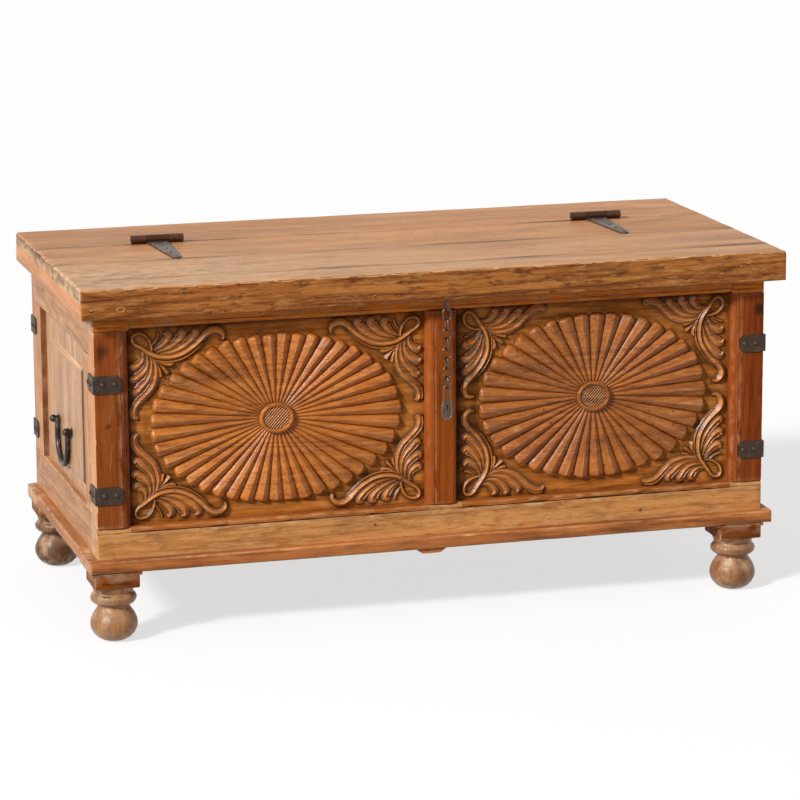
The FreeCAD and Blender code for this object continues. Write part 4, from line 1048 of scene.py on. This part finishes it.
def buildCarving(side, spec, seed):
    node = "front_" + side + "_panel"
    x0, x1 = openingOf(side)
    z0, z1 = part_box("front_bottom_rail")[1].z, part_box("front_middle_stile")[1].z
    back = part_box(node)[1].y
    ground = back - spec["thickness"]
    centre = ((x0 + x1) / 2 + spec["nudge"][side], (z0 + z1) / 2)
    wide, tall = (x1 - x0) / 2 - spec["sideGap"], spec["burstHeight"]
    m = spec["margin"]
    board = addBlock("ground", (x0 - m, ground, z0 - m), (x1 + m, back, z1 + m))
    cutEvery(board, spec["step"], 0, 2)
    rough, roughScale = spec["rough"]
    for vertex in board.data.vertices:
        if vertex.co.y < ground + mm:
            vertex.co.y += rough * noise.fractal(vertex.co * roughScale, 1.0, 2.0, 3)
    spray = carveSprays(spec, (x0, z0), (x1, z1), ground, side == "right")
    nearSpray = kdtree.KDTree(len(spray.data.vertices))
    for index, vertex in enumerate(spray.data.vertices):
        nearSpray.insert((vertex.co.x, 0, vertex.co.z), index)
    nearSpray.balance()

    def grimeAndShade(at):
        # painted shade round the sprays, round the sunburst, along the edges and under the top left corner,
        # with patchy grime
        shade = max(0, 1 - nearSpray.find((at.x, 0, at.z))[2] / (8 * mm))
        e = math.hypot((at.x - centre[0]) / wide, (at.z - centre[1]) / tall)
        rim = min(at.x - x0, x1 - at.x, at.z - z0, z1 - at.z)
        low = max(0, 1 - abs(e - 1.02) / 0.06, 1 - rim / (9 * mm))
        corner = max(0, 1 - min(at.x - x0, z1 - at.z) / (13 * mm))
        return min(1, 0.45 * low + 0.45 * corner + 0.5 * shade + 0.25 * max(0, noise.noise(at * 60)))

    paintLayer(board, "dirtAndShade", grimeAndShade)
    burst = cutReeds(spec, side, centre, wide, tall, ground, seed)
    boss = carveBoss(spec, centre, ground)
    flats = len(board.data.polygons)
    leaves = flats + len(spray.data.polygons)
    carving = faceOutward(joinPieces("front" + side + "Carving", [board, spray] + burst + boss))
    finishPiece(carving, "carcass", "carved_wood", (groundWood, sprayWood, carvedWood[side]), node, smooth=32,
                pick=lambda polygon: (polygon.index >= flats) + (polygon.index >= leaves))


for panelSeed, panelSide in enumerate(("left", "right")):
    buildCarving(panelSide, carvingSpec, 51 + panelSeed)
print("sunbursts and corner sprays carved")

# sides and back posts
sideSpec = {
    "ground": 10 * mm, "field": 3.8 * mm, "bevel": 8 * mm, "marginY": 40 * mm, "marginZ": (22 * mm, 40 * mm),
    "sunk": 8 * mm, "stile": 42 * mm, "step": 14 * mm, "railRound": 3 * mm, "fieldRound": 1.6 * mm,
    "legRound": 2 * mm, "railWorn": (0.8 * mm, 50, 0.5 * mm), "panelWorn": (0.3 * mm, 50, 0.4 * mm),
    "postWorn": (0.6 * mm, 50, 0.3 * mm), "grimeAndShade": {"left": 0.85, "right": 0.35}, "shadeBandWidth": 9.5 * mm,
    "headWidth": 12 * mm, "reveal": 3 * mm,
}


def buildSideRail(spec, node, outer, seed):
    rail = addBlock(node.replace("_", ""), *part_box(node))
    roundEdges(rail, lambda mid, run: runs(run, 1) and meets(mid.x, outer), spec["railRound"])
    cutEvery(rail, spec["step"], 1, 2)
    weather(rail, seed, *spec["railWorn"])
    finishPiece(rail, "carcass", "side_wood", sideWood, node)


def buildSidePanel(spec, side, outer, sign, seed):
    low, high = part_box(side + "_panel")
    inside = high.x if sign < 0 else low.x
    flat = outer - sign * spec["ground"]
    top = flat + sign * spec["field"]
    y0, y1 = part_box("front_" + side + "_post")[1].y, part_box("back_" + side + "_post")[0].y
    z0, z1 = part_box(side + "_bottom_rail")[1].z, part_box(side + "_top_rail")[0].z
    m = spec["sunk"]
    board = addBlock("sideGround", (flat, y0 - m, z0 - m), (inside, y1 + m, z1 + m))
    cutEvery(board, spec["step"], 1)
    front, rear = y0 + spec["marginY"], y1 - spec["marginY"]
    foot, head = z0 + spec["marginZ"][0], z1 - spec["marginZ"][1]
    field = addBlock("sideField", (flat - sign * mm, front, foot), (top, rear, head))
    for vertex in field.data.vertices:
        if meets(vertex.co.x, top, 0.5 * mm):
            vertex.co.y -= spec["bevel"] * math.copysign(1, vertex.co.y - (y0 + y1) / 2)
            vertex.co.z -= spec["bevel"] * math.copysign(1, vertex.co.z - (foot + head) / 2)
    roundEdges(field, lambda mid, run: meets(mid.x, top, 0.5 * mm), spec["fieldRound"])
    cutEvery(field, spec["step"], 1, 2)
    panel = joinPieces(side + "Panel", [board, field])
    weather(panel, seed, *spec["panelWorn"], rub=0)

    # a dark band along the field's front edge is painted shade in the gap, stronger on the left side
    def grimeAndShade(at):
        return spec["grimeAndShade"][side] if meets(at.y, front, spec["shadeBandWidth"]) and z0 < at.z < z1 else 0.0

    # the top bevel takes the paler wood: painted highlight
    def headBevel(polygon):
        atHead = meets(polygon.center.z, head, spec["headWidth"])
        return polygon.normal.z > 0.2 and atHead and front < polygon.center.y

    paintLayer(panel, "dirtAndShade", grimeAndShade)
    finishPiece(panel, "carcass", "side_panel_wood", (sidePanelWood, litBevelWood), side + "_panel",
                pick=headBevel)


def buildBackPost(spec, side, outer, sign, seed):
    node = "back_" + side + "_post"
    low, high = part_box(node)
    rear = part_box("back_top_rail")[0].y
    leg = addBlock("rearLeg", (low.x, rear, low.z), high)
    roundEdges(leg, lambda mid, run: runs(run, 2) and meets(mid.x, outer) and mid.y > rear + mm,
               spec["legRound"])
    stile = addBlock("rearStile", (outer, low.y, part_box(side + "_bottom_rail")[1].z),
                     (outer - sign * spec["stile"], rear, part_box(side + "_top_rail")[0].z))
    for part in (leg, stile):
        cutEvery(part, spec["step"], 2)
    post = joinPieces("back" + side + "Post", [leg, stile])
    weather(post, seed, *spec["postWorn"], rub=0.3)

    # the reveal takes the dark wood: painted shade
    def revealed(polygon):
        return polygon.normal.y < -0.8 and meets(polygon.center.y, low.y, spec["reveal"])

    finishPiece(post, "carcass", "post_wood", (rearPostWood, shadedRevealWood), node, pick=revealed)


def buildSides(spec):
    for index, side in enumerate(("left", "right")):
        sign = -1 if side == "left" else 1
        low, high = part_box(side + "_top_rail")
        outer = low.x if sign < 0 else high.x
        for part in ("top", "bottom"):
            buildSideRail(spec, side + "_" + part + "_rail", outer, 61 + index)
        buildSidePanel(spec, side, outer, sign, 67 + index)
        buildBackPost(spec, side, outer, sign, 69 + index)


buildSides(sideSpec)
print("sides framed")

# plinth and turned feet
plinthSpec = {"round": 4 * mm, "step": 12 * mm, "worn": (1.6 * mm, 45, 0.6 * mm),
              "outer": (589 * mm, 270 * mm)}
footSpec = {
    "block": 75 * mm, "blockLow": 93.5 * mm, "blockHigh": 119.6 * mm, "blockRound": 3 * mm,
    "pad": (83 * mm, 75 * mm, 4.5 * mm), "padRound": 1.5 * mm, "steps": 48, "worn": (0.5 * mm, 60, 0.35 * mm),
    # each foot's wood carries its painted light or shade
    "finish": {"front_left_foot": litLeftFootWood, "front_right_foot": shadedRightFootWood,
               "back_left_foot": shadedRearFootWood, "back_right_foot": shadedRearFootWood},
    # radius and height up the turning, in millimetres
    "turning": ((0, 0), (13, 0.3), (20, 2), (28, 6.5), (34.5, 13.5), (38.4, 22), (39.2, 28.5), (38.2, 36),
                (35, 44), (30.5, 51), (27.4, 55.5), (26.4, 58), (26.6, 60.6), (29, 62.2), (33.6, 64),
                (37, 67.6), (38.3, 72.4), (37, 77), (34.2, 80), (32.2, 81.4), (31.8, 83.2), (33.2, 85),
                (33.9, 88), (34.6, 91), (36.6, 93.6), (0, 94.5)),
}


def buildPlinth(spec):
    for index, side in enumerate(("front", "back", "left", "right")):
        board = addBlock("plinth" + side, *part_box("plinth_" + side))
        run = 0 if side in ("front", "back") else 1

        def outerEdge(mid, way):
            atOutside = abs(mid.x) > spec["outer"][0] if run else abs(mid.y) > spec["outer"][1]
            return runs(way, run) and atOutside or runs(way, 2)

        roundEdges(board, outerEdge, spec["round"])
        cutEvery(board, spec["step"], run)
        weather(board, 71 + index, *spec["worn"])
        finishPiece(board, "carcass", "plinth_wood", plinthEndWood if run else plinthWood, "plinth_" + side)


def turnFoot(spec):
    turned = addShape(bpy.ops.mesh.primitive_plane_add, size=mm, location=(0, 0, 0))
    bpy.ops.object.mode_set(mode="EDIT")
    bpy.ops.mesh.select_all(action="SELECT")
    bpy.ops.mesh.merge(type="CENTER")
    last = (0, 0)
    for radius, height in spec["turning"][1:]:
        step = ((radius - last[0]) * mm, 0, (height - last[1]) * mm)
        bpy.ops.mesh.extrude_vertices_move(TRANSFORM_OT_translate={"value": step})
        last = (radius, height)
    bpy.ops.mesh.select_all(action="SELECT")
    bpy.ops.mesh.spin(steps=spec["steps"], angle=2 * math.pi, center=(0, 0, 0), axis=(0, 0, 1))
    bpy.ops.mesh.select_all(action="SELECT")
    bpy.ops.mesh.remove_doubles(threshold=0.02 * mm)
    faceOutward(turned)
    half, blockLow, blockHigh = spec["block"] / 2, spec["blockLow"], spec["blockHigh"]
    block = addBlock("block", (-half, -half, blockLow), (half, half, blockHigh))
    roundEdges(block, lambda mid, run: meets(mid.z, blockLow) or runs(run, 2), spec["blockRound"])
    wide, deep, thick = spec["pad"]
    pad = addBlock("pad", (-wide / 2, -deep / 2, blockHigh - thick), (wide / 2, deep / 2, blockHigh))
    roundEdges(pad, lambda mid, run: meets(mid.z, blockHigh - thick, 0.5 * mm), spec["padRound"], 2)
    return joinPieces("foot", [turned, block, pad])


def buildFeet(spec):
    pattern = turnFoot(spec)
    for index, (node, finish) in enumerate(spec["finish"].items()):
        low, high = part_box(node)
        foot = copyOf(pattern)
        foot.name = node.replace("_", "")
        foot.data.transform(Matrix.Translation(((low.x + high.x) / 2, (low.y + high.y) / 2, 0)))
        weather(foot, 81 + index, *spec["worn"])
        for vertex in foot.data.vertices:
            vertex.co.z = max(0, vertex.co.z)
        finishPiece(foot, "carcass", "foot_wood", (finish, blockWood), node, smooth=45,
                    pick=lambda polygon: polygon.center.z > spec["blockLow"] + mm)
    bpy.data.objects.remove(pattern)


buildPlinth(plinthSpec)
buildFeet(footSpec)
print("plinth and feet made")

# pierced plate at the end of the chain
haspSpec = {
    "wire": 1.9 * mm, "plate": 2.2 * mm, "fill": 37 * mm, "fillMiddle": 18 * mm, "key": (24 * mm, 2.3 * mm),
    "slot": (1.1 * mm, 7 * mm), "overrun": 5 * mm, "keyholeShadow": (0.3 * mm, 0.1 * mm),
    # half width and height above the lower end, along the middle of the wire, in millimetres
    "outline": ((0, 1.9), (4, 2.6), (7, 5.6), (8.4, 10.5), (8.5, 17), (7.6, 25), (6.4, 32), (5.7, 38),
                (5.6, 46), (5.6, 52), (3.6, 56.8), (0, 58.1)),
}


def buildHasp(spec):
    low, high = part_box("hasp")
    x, y = ((low + high) / 2).xy
    right = [(x + u * mm, low.z + v * mm) for u, v in spec["outline"]]
    loop = right + [(2 * x - u, v) for u, v in right[-2:0:-1]]
    path = [(u, y, v, 1) for u, v in loop]
    wire = meshOf(drawCurve("haspWire", "BEZIER", [path], closed=True, dimensions="3D",
                            bevel_depth=spec["wire"], bevel_resolution=3, resolution_u=4))
    hub = low.z + spec["fillMiddle"]
    inside = [(u, v) for u, v in loop if v < low.z + spec["fill"]]
    inside.sort(key=lambda at: math.atan2(at[1] - hub, at[0] - x))
    half, over = spec["plate"] / 2, spec["overrun"]
    plate = addMoulding("haspPlate", inside, 1, y - half, y + half)
    keyHigh, keyRadius = low.z + spec["key"][0], spec["key"][1]
    slotHalf, slotLong = spec["slot"]
    eye = settle(addShape(bpy.ops.mesh.primitive_cylinder_add, vertices=20, radius=keyRadius, depth=2 * over,
                          rotation=(math.pi / 2, 0, 0), location=(x, y, keyHigh)))
    slot = addBlock("slot", (x - slotHalf, y - over, keyHigh - slotLong), (x + slotHalf, y + over, keyHigh))
    for cutter in (eye, slot):
        pickUp(plate)
        cut = plate.modifiers.new("cut", "BOOLEAN")
        cut.object = cutter
        cut.solver = "EXACT"
        bpy.ops.object.modifier_apply(modifier="cut")
        bpy.data.objects.remove(cutter)
    # a near-black leaf behind the keyhole: painted shade
    within, behind = spec["keyholeShadow"]
    keyholeShadow = addBlock("keyholeShadow", (x - 2 * keyRadius, y + half - within, keyHigh - slotLong - mm),
                       (x + 2 * keyRadius, y + half + behind, keyHigh + keyRadius + mm))
    wired = len(wire.data.polygons)
    plated = wired + len(plate.data.polygons)
    hasp = faceOutward(joinPieces("haspPlate", [wire, plate, keyholeShadow]))
    finishPiece(hasp, "hasp", "chain_iron", (haspIron, haspShade, keyholeShade), "hasp", smooth=40,
                pick=lambda polygon: (polygon.index >= wired) + (polygon.index >= plated))


buildHasp(haspSpec)
print("hasp plate pierced")

# finishes for the solids that stay as they are
keptFinishes = (
    (backWood, ("back_top_rail", "back_bottom_rail")),
    (sidePostWood, ("back_middle_stile",)),
    (sidePanelWood, ("back_left_panel", "back_right_panel")),
    (innerWood, ("floor_boards", "lid_battens")),
    (plinthWood, ("center_bearer",)),
    (barrelIron, ("left_hinge_leaf", "right_hinge_leaf", "hinge_pins")),
    (strapIron, ("left_hinge_strap", "right_hinge_strap", "hinge_nails")),
    (cornerIron, ("corner_irons", "corner_iron_nails")),
    (handleIron, ("handle_posts", "left_bail", "right_bail")),
    (chainIron, ["chain_staple"] + ["chain_link_" + str(link) for link in range(1, 9)]),
)
for finish, nodes in keptFinishes:
    for node in nodes:
        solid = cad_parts[node]
        if not solid.material_slots:
            solid.data.materials.append(finish)
        for place in solid.material_slots:
            place.material = finish
print("kept solids finished")

clearSelection()
